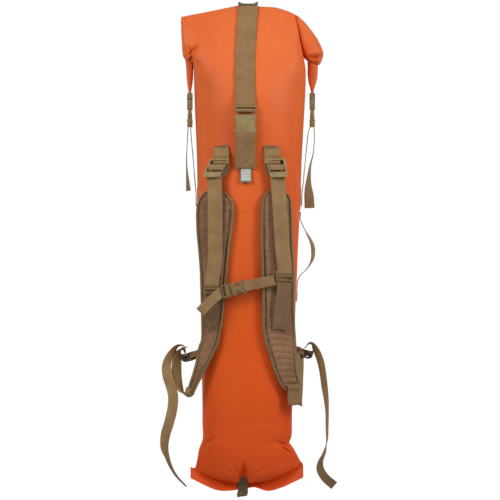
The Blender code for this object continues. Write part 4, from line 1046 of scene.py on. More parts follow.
def female_half(name, place, width, length, web, depth, body, node, mat=None, windows=()):
    """Housing in three layers, with side windows and a bar at its far end."""
    half = width / 2
    gap = PLATE / 2 + 0.0003
    layer = depth / 2 - gap
    notch = half - 0.0050
    face_end = -length + 0.0046

    face = [(0, half - 0.0030), (-0.0030, half), (-0.0105, half - 0.0002), (-0.0135, notch),
            (-0.0240, notch - 0.0004), (-0.0285, half - 0.0022), (-0.0330, half - 0.0008),
            (face_end, half - 0.0006)]
    face += [(u, -v) for u, v in face[::-1]]
    mouth = [(0.0, half - 0.0030), (-0.0030, half), (-0.0105, half - 0.0002), (-0.0115, notch + 0.0004),
             (-0.0040, notch + 0.0004), (-0.0010, notch + 0.0008)]
    parts = []
    for side in (-1, 1):
        lift = Matrix.Translation((0, 0, side * (gap + layer / 2)))
        parts.append(plate(name + "_face", face, list(windows), layer, min(0.0011, layer * 0.42),
                           place @ lift, mat, 0.0022))
    for turn in (-1, 1):
        rail = [(u, v * turn) for u, v in mouth]
        parts.append(plate(name + "_rail", rail, [], gap * 2 + 0.0008, 0.0003, place, mat))
        post = rectangle(-length, -0.0275, turn * (web / 2 + 0.0006), turn * (half - 0.0008))
        parts.append(plate(name + "_post", post, [], PLATE + 0.0004, 0.0004, place, mat))
    parts.append(plate(name + "_web", rectangle(face_end + 0.0062, -0.0246, -half + 0.002, half - 0.002), [],
                       gap * 2 + 0.0008, 0.0003, place, mat))
    parts.append(plate(name + "_bar", rectangle(-length, -length + 0.0042, -half + 0.0008, half - 0.0008), [],
                       PLATE - 0.0004, 0.0010, place, mat))
    settle(joined(name + "_moulding", parts), "buckle_plastic", body, node)


def ladder(name, place, width, length, web, body, node, shear=0.0, twist=0.0, mat=None, narrow=0.0,
           splits=(0.285, 0.43, 0.66)):
    """Two-slot lock with thick arms and an upturned lip, leaning the way its webbing pulls it."""
    half = width / 2
    slot = web / 2 + 0.0010
    knee = length * splits[2]

    def lean(co):
        if co.x > knee:
            t = (co.x - knee) / (length - knee)
            co.z -= 0.0052 * t * t + 0.0010 * t
        co.z += 0.0012 * bump(co.y, half, 0.006) + 0.0012 * bump(co.y, -half, 0.006)
        co.y *= 1 - narrow * co.x / length
        co.x += twist * co.y
        co.y += shear * co.x
        return co

    outline = [(-0.0026, -half), (length, -half + 0.0020), (length + 0.0008, 0), (length, half - 0.0020),
               (-0.0026, half)]
    holes = [rectangle(0.0024, length * splits[0], -slot, slot),
             rectangle(length * splits[1], knee + 0.0006, -slot, slot)]
    lock = plate(name + "_plate", outline, holes, 0.0042, 0.0013, None, mat, 0.0034)
    # cut rows across the lip so that it can curl
    bm = bmesh.new()
    bm.from_mesh(lock.data)
    for u in (knee + 0.0012, knee + (length - knee) * 0.4, knee + (length - knee) * 0.7):
        geom = list(bm.verts) + list(bm.edges) + list(bm.faces)
        bmesh.ops.bisect_plane(bm, geom=geom, plane_co=(u, 0, 0), plane_no=(1, 0, 0))
    for vert in bm.verts:
        vert.co = lean(vert.co.copy())
    bm.to_mesh(lock.data)
    bm.free()
    lock.data.transform(place)
    settle(lock, "buckle_plastic", body, node)


centre = frame_at(CENTRE_MOUTH, (0, 0, 1), (1, 0, 0))
male_half("centre_male", centre, CENTRE_WIDTH, WIDE_WEB, "closure", "centre_buckle_male")
female_half("centre_female", centre, CENTRE_WIDTH, CENTRE_FEMALE, WIDE_WEB, 0.0112, "centre_latch",
            "centre_buckle_female")
for side in SIDES:
    up = frame_at((SIDE_X[side], MID_Y, SIDE_MOUTH_Z), (0, 0, -1), (0, 1, 0))
    male_half(f"side_male_{side}", up, SMALL_WIDTH, NARROW_WEB, f"side_latch_{side}",
              f"side_buckle_male_{side}", None, 0.0094)
    female_half(f"side_female_{side}", up, SMALL_WIDTH, SIDE_FEMALE, NARROW_WEB, 0.0136, "closure",
                f"side_buckle_female_{side}")

LOCK_LEAN = {"left": (-0.49, 0.02), "right": (0.24, 0.05)}
LOCK_TOP_X = {"left": -0.0742, "right": 0.0640}
LOCK_WIDTH = {"left": 0.0480, "right": 0.0500}
LOCK_BAR_Z = -0.0172        # middle bar, which the shoulder webbing turns round
for side in SIDES:
    lean_x, turn = LOCK_LEAN[side]
    place = frame_at((LOCK_TOP_X[side], PIVOT_Y, 0), (0, 0, -1), (-1, 0, 0))
    ladder(f"upper_lock_{side}_moulding", place, LOCK_WIDTH[side], 0.0430, SHOULDER_WEB, "harness",
           f"upper_lock_{side}", -lean_x, turn, None, 0.06, (0.325, 0.475, 0.69))

# ---- closure straps -----------------------------------------------------------------

TOP_LEAN = 0.0062          # how far the strap leans to the right where it crosses the roll


def make_top_strap():
    """From the middle buckle up the front and over the roll, sewn to the roll's back."""
    x = STRAP_X
    bar_z, y = CENTRE_MOUTH.z + MALE_BAR, CENTRE_MOUTH.y
    path = [(x, y - BAR_LEG * 0.7, bar_z + 0.0040)]
    path += turn_about(y, bar_z, BAR_LEG * 0.92, 180, 360, 10, x)
    path.append((x, y + BAR_LEG, bar_z + 0.0110))
    path.append((x, y + BAR_LEG - 0.0002, bar_z + 0.0190))
    for z in (0.165, 0.190, 0.218, 0.245, 0.272, 0.298, 0.320):
        path.append((x - 0.0006 * (z - 0.15) * 10, front_line(z) - 0.0032, z))
    path.append((x - 0.0010, 0.0725, 0.3455))
    path.append((x - 0.0006, 0.0815, 0.3575))
    path += turn_about(ROLL_Y, ROLL_Z, ROLL_RADIUS + 0.0042, 168, -40, 12, x)
    line = smooth_through(path, 3)
    across = []
    for p in line:
        yaw = 0.030 * smooth_step(p.z, 0.20, 0.34) - 0.02
        across.append(Vector((1, 0, yaw)))
        p.x += TOP_LEAN * smooth_step(p.z, 0.235, 0.385)

    def narrow(share):
        return 1 - 0.10 * smooth_step(share, 0.62, 0.86)

    return strap("top_strap_webbing", line, across, WIDE_WEB, STRAP, WEB, narrow, 0.0009, 3)


def make_top_keeper():
    """Gathered ends of the strap's lining, standing up like small ears where it crosses the roll."""
    parts = []
    for offset, height, tilt in ((-0.0190, 0.0075, -0.35), (0.0192, 0.0075, 0.45)):
        x = STRAP_X + TOP_LEAN + offset
        path = []
        for t in np.linspace(0, 1, 9):
            angle = radians(125 - 70 * t)
            rise = height * sin(pi * t) ** 0.7
            path.append(Vector((x + tilt * rise * 0.5, ROLL_Y + (ROLL_RADIUS + 0.0040 + rise) * cos(angle),
                                ROLL_Z + (ROLL_RADIUS + 0.0040 + rise * 0.55) * sin(angle))))
        parts.append(strap("nub", path, Vector((1, 0, tilt)), 0.0095, THREAD, 0.0016, ripple=0.0006,
                           seed=offset * 99))
    path = turn_about(ROLL_Y, ROLL_Z, ROLL_RADIUS + 0.0058, 128, 55, 16, STRAP_X + TOP_LEAN)
    parts.append(strap("top_band", path, Vector((1, 0, 0)), 0.0475, THREAD, 0.0014, ripple=0.0010, seed=8))
    return joined("top_keeper_ruffle", parts)


settle(make_top_strap(), "webbing", "closure", "top_strap")
settle(make_top_keeper(), "webbing", "closure", "top_keeper")


def make_centre_strap():
    """From the bag's front up to the bar of the middle buckle's female half and back down."""
    x, y = STRAP_X, CENTRE_MOUTH.y
    bar_z = CENTRE_MOUTH.z - CENTRE_FEMALE + BAR_INSET
    front = [(x, front_line(z) - lift, z) for z, lift in
             ((-0.0222, 0.0052), (-0.010, 0.0054), (0.008, 0.0062), (0.026, 0.0090), (0.044, 0.0130))]
    front.append((x, y - BAR_LEG, bar_z - 0.0060))
    loop = turn_about(y, bar_z, BAR_LEG, 180, 0, 10, x)
    back = [(x, y + BAR_LEG, bar_z - 0.0090), (x, front_line(0.035) - 0.0046, 0.035),
            (x, front_line(0.012) - 0.0034, 0.012), (x, front_line(-0.010) - 0.0032, -0.010),
            (x, front_line(-0.0225) - 0.0032, -0.0225)]
    line = smooth_through(front, 4) + loop + smooth_through(back, 4)
    return strap("centre_strap_webbing", line, Vector((1, 0, 0.006)), WIDE_WEB, STRAP, ripple=0.0005, seed=5)


centre_strap = make_centre_strap()
centre_stitch = stitch_box("centre_strap_stitches", (STRAP_X, front_line(-0.004) - 0.0074, -0.0035),
                           (1, 0, 0), (0, 0, 1), 0.0205, 0.0150, (0, -1, 0))
bar_lines = [[(STRAP_X + aside, front_line(z) - 0.0076, z) for aside in (-0.0205, 0.0205)]
             for z in (0.0145, 0.0170)]
bars = stitches("centre_strap_bars", bar_lines, (0, -1, 0))
centre_piece = joined("centre_strap_sewn", [centre_strap, centre_stitch, bars])
bend(centre_piece, "webbing", ("bag", "centre_latch"), (-0.012, 0.052), "centre_strap")


def make_tag():
    """Blank woven tag folded under the strap's sewn end."""
    bm = bmesh.new()
    uv = bm.loops.layers.uv.new("UVMap")
    columns, lines = 10, 12
    low, high, x0 = -0.0560, -0.0195, STRAP_X + 0.0010
    grids = []
    for layer in (0, 1):
        grid = []
        for j in range(lines + 1):
            row = []
            for i in range(columns + 1):
                u, v = i / columns - 0.5, j / lines - 0.5
                z = low + (high - low) * (v + 0.5)
                curl = 0.0016 * bump(v, -0.5, 0.35) + 0.0005 * wobble(u * 3, v * 3, 4.0)
                y = front_line(low) - 0.0058 - curl + (0.0 if layer == 0 else 0.0011)
                row.append(bm.verts.new((x0 + u * 0.0285, y, z)))
            grid.append(row)
        grids.append(grid)
    for layer, grid in enumerate(grids):
        for j in range(lines):
            for i in range(columns):
                face = bm.faces.new((grid[j][i], grid[j][i + 1], grid[j + 1][i + 1], grid[j + 1][i]))
                for loop, (a, b) in zip(face.loops, ((i, j), (i + 1, j), (i + 1, j + 1), (i, j + 1))):
                    loop[uv].uv = ((a / columns - 0.5) * 0.0285, (b / lines - 0.5) * 0.0345)
    rim = [(0, i) for i in range(columns + 1)] + [(j, columns) for j in range(1, lines + 1)]
    rim += [(lines, i) for i in range(columns - 1, -1, -1)] + [(j, 0) for j in range(lines - 1, 0, -1)]
    for (a, b), (c, d) in zip(rim, rim[1:] + rim[:1]):
        bm.faces.new((grids[0][a][b], grids[0][c][d], grids[1][c][d], grids[1][a][b]))
    return finish_mesh("woven_tag", bm, LABEL, 40)


settle(make_tag(), "label", "bag", "name_tag")


def make_side_strap(side):
    """Lower half of a side closure: through the male half's bar, down to its sewn patch."""
    sign, x = sign_of(side), SIDE_X[side]
    bar_z = SIDE_MOUTH_Z - MALE_BAR
    path = [Vector((x + sign * BAR_LEG, MID_Y, bar_z - 0.0120))]
    for a in np.linspace(0, pi, 9):
        path.append(Vector((x + sign * BAR_LEG * cos(a), MID_Y, bar_z + BAR_LEG * sin(a))))
    rest = [Vector((x - sign * BAR_LEG, MID_Y, bar_z - 0.0080)),
            Vector((x - sign * 0.0022, MID_Y, bar_z - 0.0190))]
    for z, off in ((0.070, 0.0125), (0.030, 0.0105), (-0.010, 0.0085), (-0.050, 0.0060), (-0.085, 0.0036),
                   (-0.115, 0.0034)):
        rest.append(Vector((side_face(z, side) + sign * off, MID_Y, z)))
    line = path + smooth_through(rest, 5)
    return strap(f"side_strap_{side}_webbing", line, Vector((0, 1, 0)), NARROW_WEB - 0.001, STRAP,
                 ripple=0.0006, seed=sign)


def make_side_patch(side):
    sign = sign_of(side)
    bm = bmesh.new()
    rings = []
    for z in np.linspace(-0.0680, -0.1240, 9):
        ring = []
        for k in range(9):
            y = MID_Y - 0.020 + 0.005 * k
            width, depth = section_at(z)
            f = (1 - min(abs(y - MID_Y) / (depth / 2), 1.0) ** POWER) ** (1 / POWER)
            x = LEAN * z + sign * width / 2 * f
            ring.append(bm.verts.new((x + sign * 0.0014, y, z)))
        rings.append(ring)
    for low, high in zip(rings, rings[1:]):
        for i in range(8):
            bm.faces.new((low[i], low[i + 1], high[i + 1], high[i]))
    faces = list(bm.faces)
    bmesh.ops.recalc_face_normals(bm, faces=faces)
    grown = bmesh.ops.extrude_face_region(bm, geom=faces)
    moved = [item for item in grown["geom"] if isinstance(item, bmesh.types.BMVert)]
    bmesh.ops.translate(bm, verts=moved, vec=(-sign * 0.0012, 0, 0))
    return finish_mesh(f"side_patch_{side}_welded", bm, FABRIC, 40)


for side in SIDES:
    bend(make_side_strap(side), "webbing", ("bag", f"side_latch_{side}"), (-0.075, 0.085),
         f"side_strap_{side}")
    patch = make_side_patch(side)
    sign = sign_of(side)
    box = stitch_box(f"side_strap_{side}_stitches", (side_face(-0.1, side) + sign * 0.0046, MID_Y, -0.100),
                     (0, 1, 0), (0.008, 0, 1), 0.0095, 0.0115, (sign, 0, 0))
    settle(patch, "coated_fabric", "bag", f"side_patch_{side}")
    settle(box, "webbing", "bag")


# ---- harness ------------------------------------------------------------------------

ANCHOR_SEWN_X = {"left": -0.0696, "right": 0.0558}


def make_upper_anchor(side):
    """Folded webbing sewn to the bag, holding the ladder lock's bar."""
    sign = sign_of(side)
    x = LOCK_TOP_X[side] * 0.10 + ANCHOR_SEWN_X[side] * 0.90
    top_x = ANCHOR_SEWN_X[side]
    leg = 0.0044
    mid = x * 0.45 + top_x * 0.55
    sewn_y = front_skin(top_x, 0.034) - 0.0020
    front = [(top_x, sewn_y - 0.0019, 0.0345), (top_x * 0.9 + mid * 0.1, sewn_y - 0.0036, 0.0250),
             (mid, PIVOT_Y + 0.0026, 0.0120), (x, PIVOT_Y + 0.0034, 0.0020),
             (x, PIVOT_Y + 0.0016, -0.0030), (x, PIVOT_Y - 0.0022, -0.0062),
             (x, PIVOT_Y - 0.0024, -0.0092), (x, PIVOT_Y + 0.0020, -0.0120)]
    back = [(x, PIVOT_Y + 0.0056, -0.0070), (mid, PIVOT_Y + leg + 0.0022, 0.0120),
            (top_x, sewn_y, 0.0345)]
    line = smooth_through(front + back, 4)
    across = [Vector((1, sign * 0.33 * smooth_step(p.z, 0.006, 0.030), 0)) for p in line]
    band = strap(f"upper_anchor_{side}_webbing", line, across, SHOULDER_WEB + 0.0030, STRAP, ripple=0.0004,
                 seed=sign * 2)
    out = Vector((sign * 0.33, -1, 0)).normalized()
    across_dir = Vector((1, sign * 0.33, 0)).normalized()
    spot = Vector((top_x, sewn_y - 0.0031, 0.0285)) + Vector((0, -0.0006, 0))
    lines = []
    for dz in (0.0040, 0.0018, -0.0006):
        middle = spot + Vector((0, -0.0004 * (0.004 - dz) * 100, dz))
        lines.append((middle - across_dir * 0.0155, middle + across_dir * 0.0155))
    return joined(f"upper_anchor_{side}_sewn", [band, stitches("s", lines, out)])


PAD_STATIONS = {
    "left": [
        (-0.0760, -0.0785, 0.0200), (-0.0810, -0.0930, 0.0370), (-0.0838, -0.1190, 0.0458),
        (-0.0863, -0.1736, 0.0434), (-0.0875, -0.2232, 0.0380), (-0.0883, -0.2852, 0.0325),
        (-0.0905, -0.3472, 0.0288), (-0.0925, -0.3968, 0.0256), (-0.0970, -0.4464, 0.0213),
        (-0.1061, -0.4712, 0.0196), (-0.1215, -0.5158, 0.0137), (-0.1359, -0.5506, 0.0104),
        (-0.1476, -0.5803, 0.0087),
    ],
    "right": [
        (0.0690, -0.0760, 0.0200), (0.0675, -0.0930, 0.0330), (0.0675, -0.1190, 0.0372),
        (0.0677, -0.1980, 0.0387), (0.0709, -0.2780, 0.0394), (0.0719, -0.3570, 0.0384),
        (0.0737, -0.4216, 0.0392), (0.0818, -0.4710, 0.0340), (0.0898, -0.5158, 0.0285),
        (0.0985, -0.5456, 0.0236), (0.1096, -0.5654, 0.0186),
    ],
}
PAD_THICKNESS, PAD_YAW, PAD_INNER_X = 0.012, 0.22, 0.035
PAD_AROUND = 32


def pad_back(x, z):
    return front_line(z) - 0.0010 + PAD_YAW * (abs(x) - PAD_INNER_X)


def pad_rings(side, steps=8):
    """(centre x, half width, z, sideways drift) along a pad."""
    line = smooth_through([(x, h, z) for x, z, h in PAD_STATIONS[side]], steps)
    out = []
    for i, (x, half, z) in enumerate(line):
        ahead, behind = line[min(i + 1, len(line) - 1)], line[max(i - 1, 0)]
        drift = (ahead[0] - behind[0]) / max(behind[2] - ahead[2], 1e-6)
        out.append((x, half, z, drift * 0.55))
    return out


def blow_up(made, voxel, pressure, limit, frames=20):
    """Swells a closed mesh with a cloth simulation, then applies it."""
    bpy.context.view_layer.objects.active = made
    remesh = made.modifiers.new("remesh", "REMESH")
    remesh.mode = "VOXEL"
    remesh.voxel_size = voxel
    mesh = evaluated_mesh(made)
    made.modifiers.clear()
    made.data = mesh
    before = np.array([v.co for v in mesh.vertices])
    cloth = made.modifiers.new("cloth", "CLOTH")
    cloth.settings.use_pressure = True
    cloth.settings.uniform_pressure_force = pressure
    cloth.settings.effector_weights.gravity = 0
    cloth.settings.quality = 6
    cloth.settings.tension_stiffness = 30
    cloth.settings.compression_stiffness = 30
    cloth.settings.bending_stiffness = 2.0
    cloth.point_cache.frame_start = 1
    cloth.point_cache.frame_end = frames
    for number in range(1, frames + 1):
        SCENE.frame_set(number)
    swollen = evaluated_mesh(made)
    made.modifiers.clear()
    after = np.array([v.co for v in swollen.vertices])
    step = after - before
    step[:, (0, 2)] = 0
    size = np.linalg.norm(step, axis=1, keepdims=True)
    after = before + step * np.minimum(1.0, limit / np.maximum(size, 1e-9))
    made.data = swollen
    swollen.vertices.foreach_set("co", after.astype(np.float32).ravel())
    swollen.update()
    SCENE.frame_set(1)
    return made


def make_pad(side):
    """Foam pad: swollen by simulation, then creased and stitched."""
    rings = []
    stations = pad_rings(side)
    last = len(stations) - 1
    bm = bmesh.new()
    for i, (x, half, z, drift) in enumerate(stations):
        ends = min(i, last - i) / 8
        thick = (PAD_THICKNESS - 0.0025) * min(0.60 + 0.16 * ends, 1.0)
        ring = []
        for angle in angles(PAD_AROUND):
            u = (half - 0.0004) * squared(cos(angle), 0.55)
            v = thick / 2 * squared(sin(angle), 0.7)
            px = x + u
            ring.append(bm.verts.new((px, pad_back(px, z) - PAD_THICKNESS / 2 + v, z + u * drift)))
        rings.append(ring)
    bridge(bm, rings)
    made = finish_mesh(f"shoulder_pad_{side}_foam", bm, PAD)
    blow_up(made, 0.0045, 4.0, 0.0022)
    finer = made.modifiers.new("finer", "SUBSURF")
    finer.levels = finer.render_levels = 1
    mesh = evaluated_mesh(made)
    made.modifiers.clear()
    made.data = mesh
    mesh.materials.clear()
    mesh.materials.append(PAD)
    line = [(z, x, half) for x, half, z, _ in stations][::-1]
    co = np.array([v.co for v in mesh.vertices])
    for n, (px, py, pz) in enumerate(co):
        cx, half = lerp_rows(line, pz)
        u = (px - cx) / max(half, 0.004)
        middle = pad_back(px, pz) - PAD_THICKNESS / 2
        front = 1 if py < middle else 0
        # channel sewn just inside the binding, and cross wrinkles where the pad bends
        channel = bump(abs(u), 0.80, 0.09)
        press = 0.0017 * channel + 0.0010 * bump(abs(u), 0.42, 0.07)
        if side == "right":
            wave = sin((pz + 0.18 * u * u * half) * 2 * pi / 0.0155 + 2.0 * wobble(px * 12, 0, pz * 9))
            press += 0.0030 * max(wave - 0.35, 0) * smooth_step(pz, -0.385, -0.430) * (1 - 0.5 * abs(u) ** 3)
            press += 0.0007 * max(wave, 0) * (1 - smooth_step(pz, -0.385, -0.430))
        else:
            wave = sin(u * 7.5 + 1.5 * wobble(px * 8, 1, pz * 6))
            press += 0.0016 * max(wave - 0.2, 0) * smooth_step(pz, -0.330, -0.400)
            press += 0.0008 * max(sin(pz * 2 * pi / 0.019 + 3 * wobble(px * 20, 3, pz * 9)), 0)
        if front:
            co[n][1] += press
        else:
            co[n][1] -= press * 0.5
    mesh.vertices.foreach_set("co", co.astype(np.float32).ravel())
    mesh.update()
    mesh.shade_smooth()
    return made


def make_binding(side):
    """Folded tape sewn round the pad's edge."""
    stations = pad_rings(side, 6)
    rim = [(x - half, z - half * drift) for x, half, z, drift in stations]
    rim += [(x + half, z + half * drift) for x, half, z, drift in stations[::-1]]
    centres = [Vector((px, pad_back(px, z) - PAD_THICKNESS / 2, z)) for px, z in rim]
    centres = smooth_through(centres + centres[:1], 2)[:-1]
    midline = [(z, x) for x, _, z, _ in stations][::-1]
    middle = [Vector((lerp_rows(midline, c.z)[0], c.y, c.z)) for c in centres]
    bm = bmesh.new()
    uv = bm.loops.layers.uv.new("UVMap")
    count = len(centres)
    profile = [(-0.0052, -0.0058), (-0.0030, -0.0066), (-0.0006, -0.0062), (0.0010, -0.0030), (0.0014, 0.0),
               (0.0010, 0.0030), (-0.0006, 0.0062), (-0.0030, 0.0066), (-0.0052, 0.0058), (-0.0050, 0.0046),
               (-0.0010, 0.0046), (-0.0002, 0.0), (-0.0010, -0.0046), (-0.0050, -0.0046)]
    rings, run = [], 0.0
    last = len(stations) - 1
    for i, centre in enumerate(centres):
        along = (centres[(i + 1) % count] - centres[i - 1]).normalized()
        inward = middle[i] - centre
        outward = Vector((0, 1, 0)).cross(along).normalized()
        if outward.dot(inward) > 0:
            outward = -outward
        if i:
            run += (centre - centres[i - 1]).length
        near_end = min(abs(centre.z - stations[0][2]), abs(centre.z - stations[last][2]))
        slim = 0.62 + 0.38 * smooth_step(near_end, 0.0, 0.05)
        ring = []
        for n, (u, v) in enumerate(profile):
            jig = 0.0004 * wobble(run * 40, n, 2.0)
            ring.append(bm.verts.new(centre + outward * (u * slim + jig) + Vector((0, v * slim, 0))))
        rings.append((ring, run))
    size = len(profile)
    for i in range(count):
        (low, a), (high, b) = rings[i], rings[(i + 1) % count]
        b = b if i + 1 < count else a + 0.01
        for k in range(size):
            j = (k + 1) % size
            face = bm.faces.new((low[k], low[j], high[j], high[k]))
            for loop, (index, at) in zip(face.loops, ((k, a), (j, a), (j, b), (k, b))):
                loop[uv].uv = (index * 0.0020, at)
    return finish_mesh(f"shoulder_pad_{side}_binding", bm, BINDING)


SHOULDER_ROUTES = {
    "left": [(-0.0865, -0.0480, 0.0110), (-0.0850, -0.0900, 0.0145), (-0.0845, -0.1500, 0.0160),
             (-0.0845, -0.2000, 0.0165), (-0.0850, -0.2450, 0.0170), (-0.0872, -0.2680, 0.0170),
             (-0.0925, -0.2920, 0.0170), (-0.0925, -0.3200, 0.0170), (-0.0925, -0.3520, 0.0170),
             (-0.0930, -0.3800, 0.0170), (-0.0952, -0.4000, 0.0125), (-0.0975, -0.4180, 0.0075)],
    "right": [(0.0700, -0.0480, 0.0110), (0.0735, -0.0900, 0.0145), (0.0770, -0.1500, 0.0160),
              (0.0805, -0.2000, 0.0165), (0.0840, -0.2350, 0.0170), (0.0868, -0.2600, 0.0170),
              (0.0868, -0.2900, 0.0170), (0.0866, -0.3220, 0.0170), (0.0826, -0.3550, 0.0165),
              (0.0795, -0.3900, 0.0130), (0.0775, -0.4190, 0.0100)],
}


SEWN_FROM_Z = {"left": -0.3115, "right": -0.2800}     # below this the webbing is sewn flat to the pad


def make_shoulder_webbing(side):
    """Over the lock's middle bar, down in front of the pad, sewn to it below the slider."""
    lean_x = LOCK_LEAN[side][0]
    x = LOCK_TOP_X[side] - lean_x * LOCK_BAR_Z
    leg = 0.0044
    path = [Vector((x, PIVOT_Y - leg, LOCK_BAR_Z - 0.0080))]
    path += turn_about(PIVOT_Y, LOCK_BAR_Z, leg, 180, 0, 10, x)
    points = [(x + lean_x * 0.010, PIVOT_Y + leg, LOCK_BAR_Z - 0.0160)]
    points += [(px, front_line(z) - gap, z) for px, z, gap in SHOULDER_ROUTES[side]]
    line = path + smooth_through(points, 6)
    sign = sign_of(side)
    across = [Vector((1, sign * 0.10 * smooth_step(p.z, -0.05, -0.15), 0)) for p in line]
    turn_z = SEWN_FROM_Z[side]

    def narrow(share):
        z = line[int(share * (len(line) - 1))].z
        if side == "right":
            return 1 + 0.14 * smooth_step(z, -0.330, -0.346)
        return 1 - 0.20 * smooth_step(turn_z - z, 0.0, 0.010)

    made = strap(f"shoulder_webbing_{side}_strap", line, across, SHOULDER_WEB, STRAP_LIGHT, squeeze=narrow,
                 ripple=0.0008, seed=sign * 4)
    made.data.materials.append(STRAP_SEWN)
    for face in made.data.polygons:
        if face.center.z < turn_z:
            face.material_index = 1
    return made


def make_lock_backing(side):
    """The folded end of the shoulder webbing, which lies behind the lock and fills its slots; it is given the
    darker sewn-down webbing colour as painted shade in the slots.
    """
    lean_x = LOCK_LEAN[side][0]
    x = LOCK_X[side]
    top = LOCK_TOP_X[side] - sign_of(side) * 0.0010
    points = [(top, PIVOT_Y + 0.0076, -0.0006), (top, PIVOT_Y + 0.0076, -0.0110),
              (top * 0.8 + x * 0.2, PIVOT_Y + 0.0078, -0.0200),
              (top * 0.5 + x * 0.5, PIVOT_Y + 0.0080, -0.0300),
              (x + lean_x * 0.006, PIVOT_Y + 0.0086, -0.0420)]
    made, _ = free_strap(f"upper_lock_{side}_backing", points, [(1, 0, 0)] * 5, SHOULDER_WEB + 0.0100,
                         STRAP_SEWN, 4, squeeze=lambda share: 1 - 0.24 * smooth_step(share, 0.55, 0.95))
    return made


for side in SIDES:
    sign = sign_of(side)
    bend(make_lock_backing(side), "webbing", ("bag", "harness"), (-0.014, -0.030))
    settle(make_upper_anchor(side), "webbing", "bag", f"upper_anchor_{side}")
    pad = make_pad(side)
    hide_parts(f"shoulder_pad_{side}")
    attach(pad, "harness")
    settle(make_binding(side), "webbing", "harness")
    settle(make_shoulder_webbing(side), "webbing", "harness", f"shoulder_webbing_{side}")
    end_x, end_z, end_gap = SHOULDER_ROUTES[side][-1]
    end_y = front_line(end_z + 0.012) - end_gap - 0.0030
    sewn = stitch_box(f"shoulder_webbing_{side}_stitches", (end_x + 0.0005 * sign, end_y, end_z + 0.0125),
                      (1, 0, 0), (0, 0.12, 1), 0.0150, 0.0095, (0, -1, 0.1))
    settle(sewn, "webbing", "harness")

# wide webbing end sewn across the right pad's lower end
end_points = [(0.1120, 0.0400, -0.5560), (0.1125, 0.0415, -0.5700), (0.1130, 0.0435, -0.5880),
              (0.1135, 0.0452, -0.6050)]
end_band, _ = free_strap("shoulder_pad_right_end", end_points, [(1, 0.15, 0)] * 4, 0.0355, STRAP, 5)
end_lines = stitches("end_lines", [((0.0975, 0.0370 + k * 0.0007, z), (0.1275, 0.0412 + k * 0.0007, z))
                                   for k, z in enumerate((-0.5665, -0.5705))], (0.15, -1, 0))
settle(joined("shoulder_pad_right_end_sewn", [end_band, end_lines]), "webbing", "harness")

# adjusting straps from the pads' ends to the lower locks
LOWER_STRANDS = {
    "left": (
        [(-0.1440, 0.0560, -0.5660), (-0.1500, 0.0580, -0.5790), (-0.1600, 0.0620, -0.5815),
         (-0.1700, 0.0680, -0.5730), (-0.1765, 0.0760, -0.5560), (-0.1800, 0.0830, -0.5350),
         (-0.1805, 0.0885, -0.5080), (-0.1775, 0.0930, -0.4850), (-0.1680, 0.0975, -0.4712),
         (-0.1585, 0.1005, -0.4730)],
        [(0.85, 0.20, -0.50), (0.70, 0.45, -0.50), (0.55, 0.72, -0.45), (0.70, 0.60, -0.35),
         (0.90, 0.40, -0.15), (0.97, 0.25, 0), (0.95, 0.30, 0), (0.70, 0.70, 0), (0.3, 0.85, 0.2),
         (0, 0.8, 0.5)],
    ),
    "right": (
        [(0.1110, 0.0450, -0.5560), (0.1150, 0.0470, -0.5720), (0.1160, 0.0475, -0.5900),
         (0.1175, 0.0500, -0.6030), (0.1200, 0.0570, -0.6060), (0.1238, 0.0640, -0.5960),
         (0.1262, 0.0700, -0.5700), (0.1262, 0.0780, -0.5400), (0.1262, 0.0850, -0.5150),
         (0.1255, 0.0915, -0.4960), (0.1250, 0.0965, -0.4800)],
        [(1, 0.15, 0), (1, 0.15, 0), (1, 0.15, 0), (1, 0.15, 0), (0.9, 0.35, 0), (0.55, 0.80, 0),
         (0.50, 0.86, 0), (0.58, 0.81, 0), (0.66, 0.75, 0.1), (0.70, 0.70, 0.15), (0.72, 0.66, 0.25)],
    ),
}
LOWER_LOCK = {"left": Vector((-0.1440, 0.1050, -0.4870)), "right": Vector((0.1320, 0.1050, -0.4790))}
LOWER_LOCK_AXIS = Vector((0, 0.80, 0.60))
LOWER_LOCK_LENGTH = 0.0280


def make_lower_anchor(side):
    """Short webbing from the bag's side seam that holds a lower lock."""
    sign = sign_of(side)
    bar = LOWER_LOCK[side]
    out = Vector((sign * 0.97, 0, -0.24)).normalized()
    level = (LOWER_LOCK_AXIS - out * out.dot(LOWER_LOCK_AXIS)).normalized()
    normal = out.cross(level)
    leg = 0.0042
    loop = [bar + out * leg * sin(a) + normal * leg * cos(a) for a in np.linspace(0, pi, 9)]
    skin_x = side_face(bar.z, side)
    path = [bar - out * 0.0100 + normal * 0.0030] + loop
    path += [bar - out * 0.008 - normal * leg, Vector((skin_x + sign * 0.010, bar.y, bar.z + 0.004)),
             Vector((skin_x + sign * 0.0022, bar.y + 0.012, bar.z + 0.004)),
             Vector((skin_x + sign * 0.0016, bar.y + 0.034, bar.z + 0.004))]
    across = [level] * (len(path) - 3) + [Vector((0, 0.5, 0.85)), Vector((0, 0.1, 1)), Vector((0, 0, 1))]
    line = smooth_through(path, 3)
    band = strap(f"lower_anchor_{side}_webbing", line, smooth_through(across, 3), NARROW_WEB - 0.001, STRAP)
    place = frame_at(bar, out, level * (1 if side == "left" else -1))
    ladder(f"lower_lock_{side}_moulding", place, 0.0325, LOWER_LOCK_LENGTH - 0.002, NARROW_WEB, "bag",
           f"lower_lock_{side}", 0.0, 0.0, DARK_PLASTIC)
    threaded = [bar + out * along + normal * lift for along, lift in (
        (0.0010, 0.0014), (0.0060, -0.0002), (0.0105, 0.0022), (0.0150, 0.0026), (0.0190, -0.0004),
        (0.0225, -0.0016))]
    fill = strap("threaded", smooth_through(threaded, 3), level, NARROW_WEB - 0.002, THREAD)
    return joined(f"lower_anchor_{side}_sewn", [band, fill])


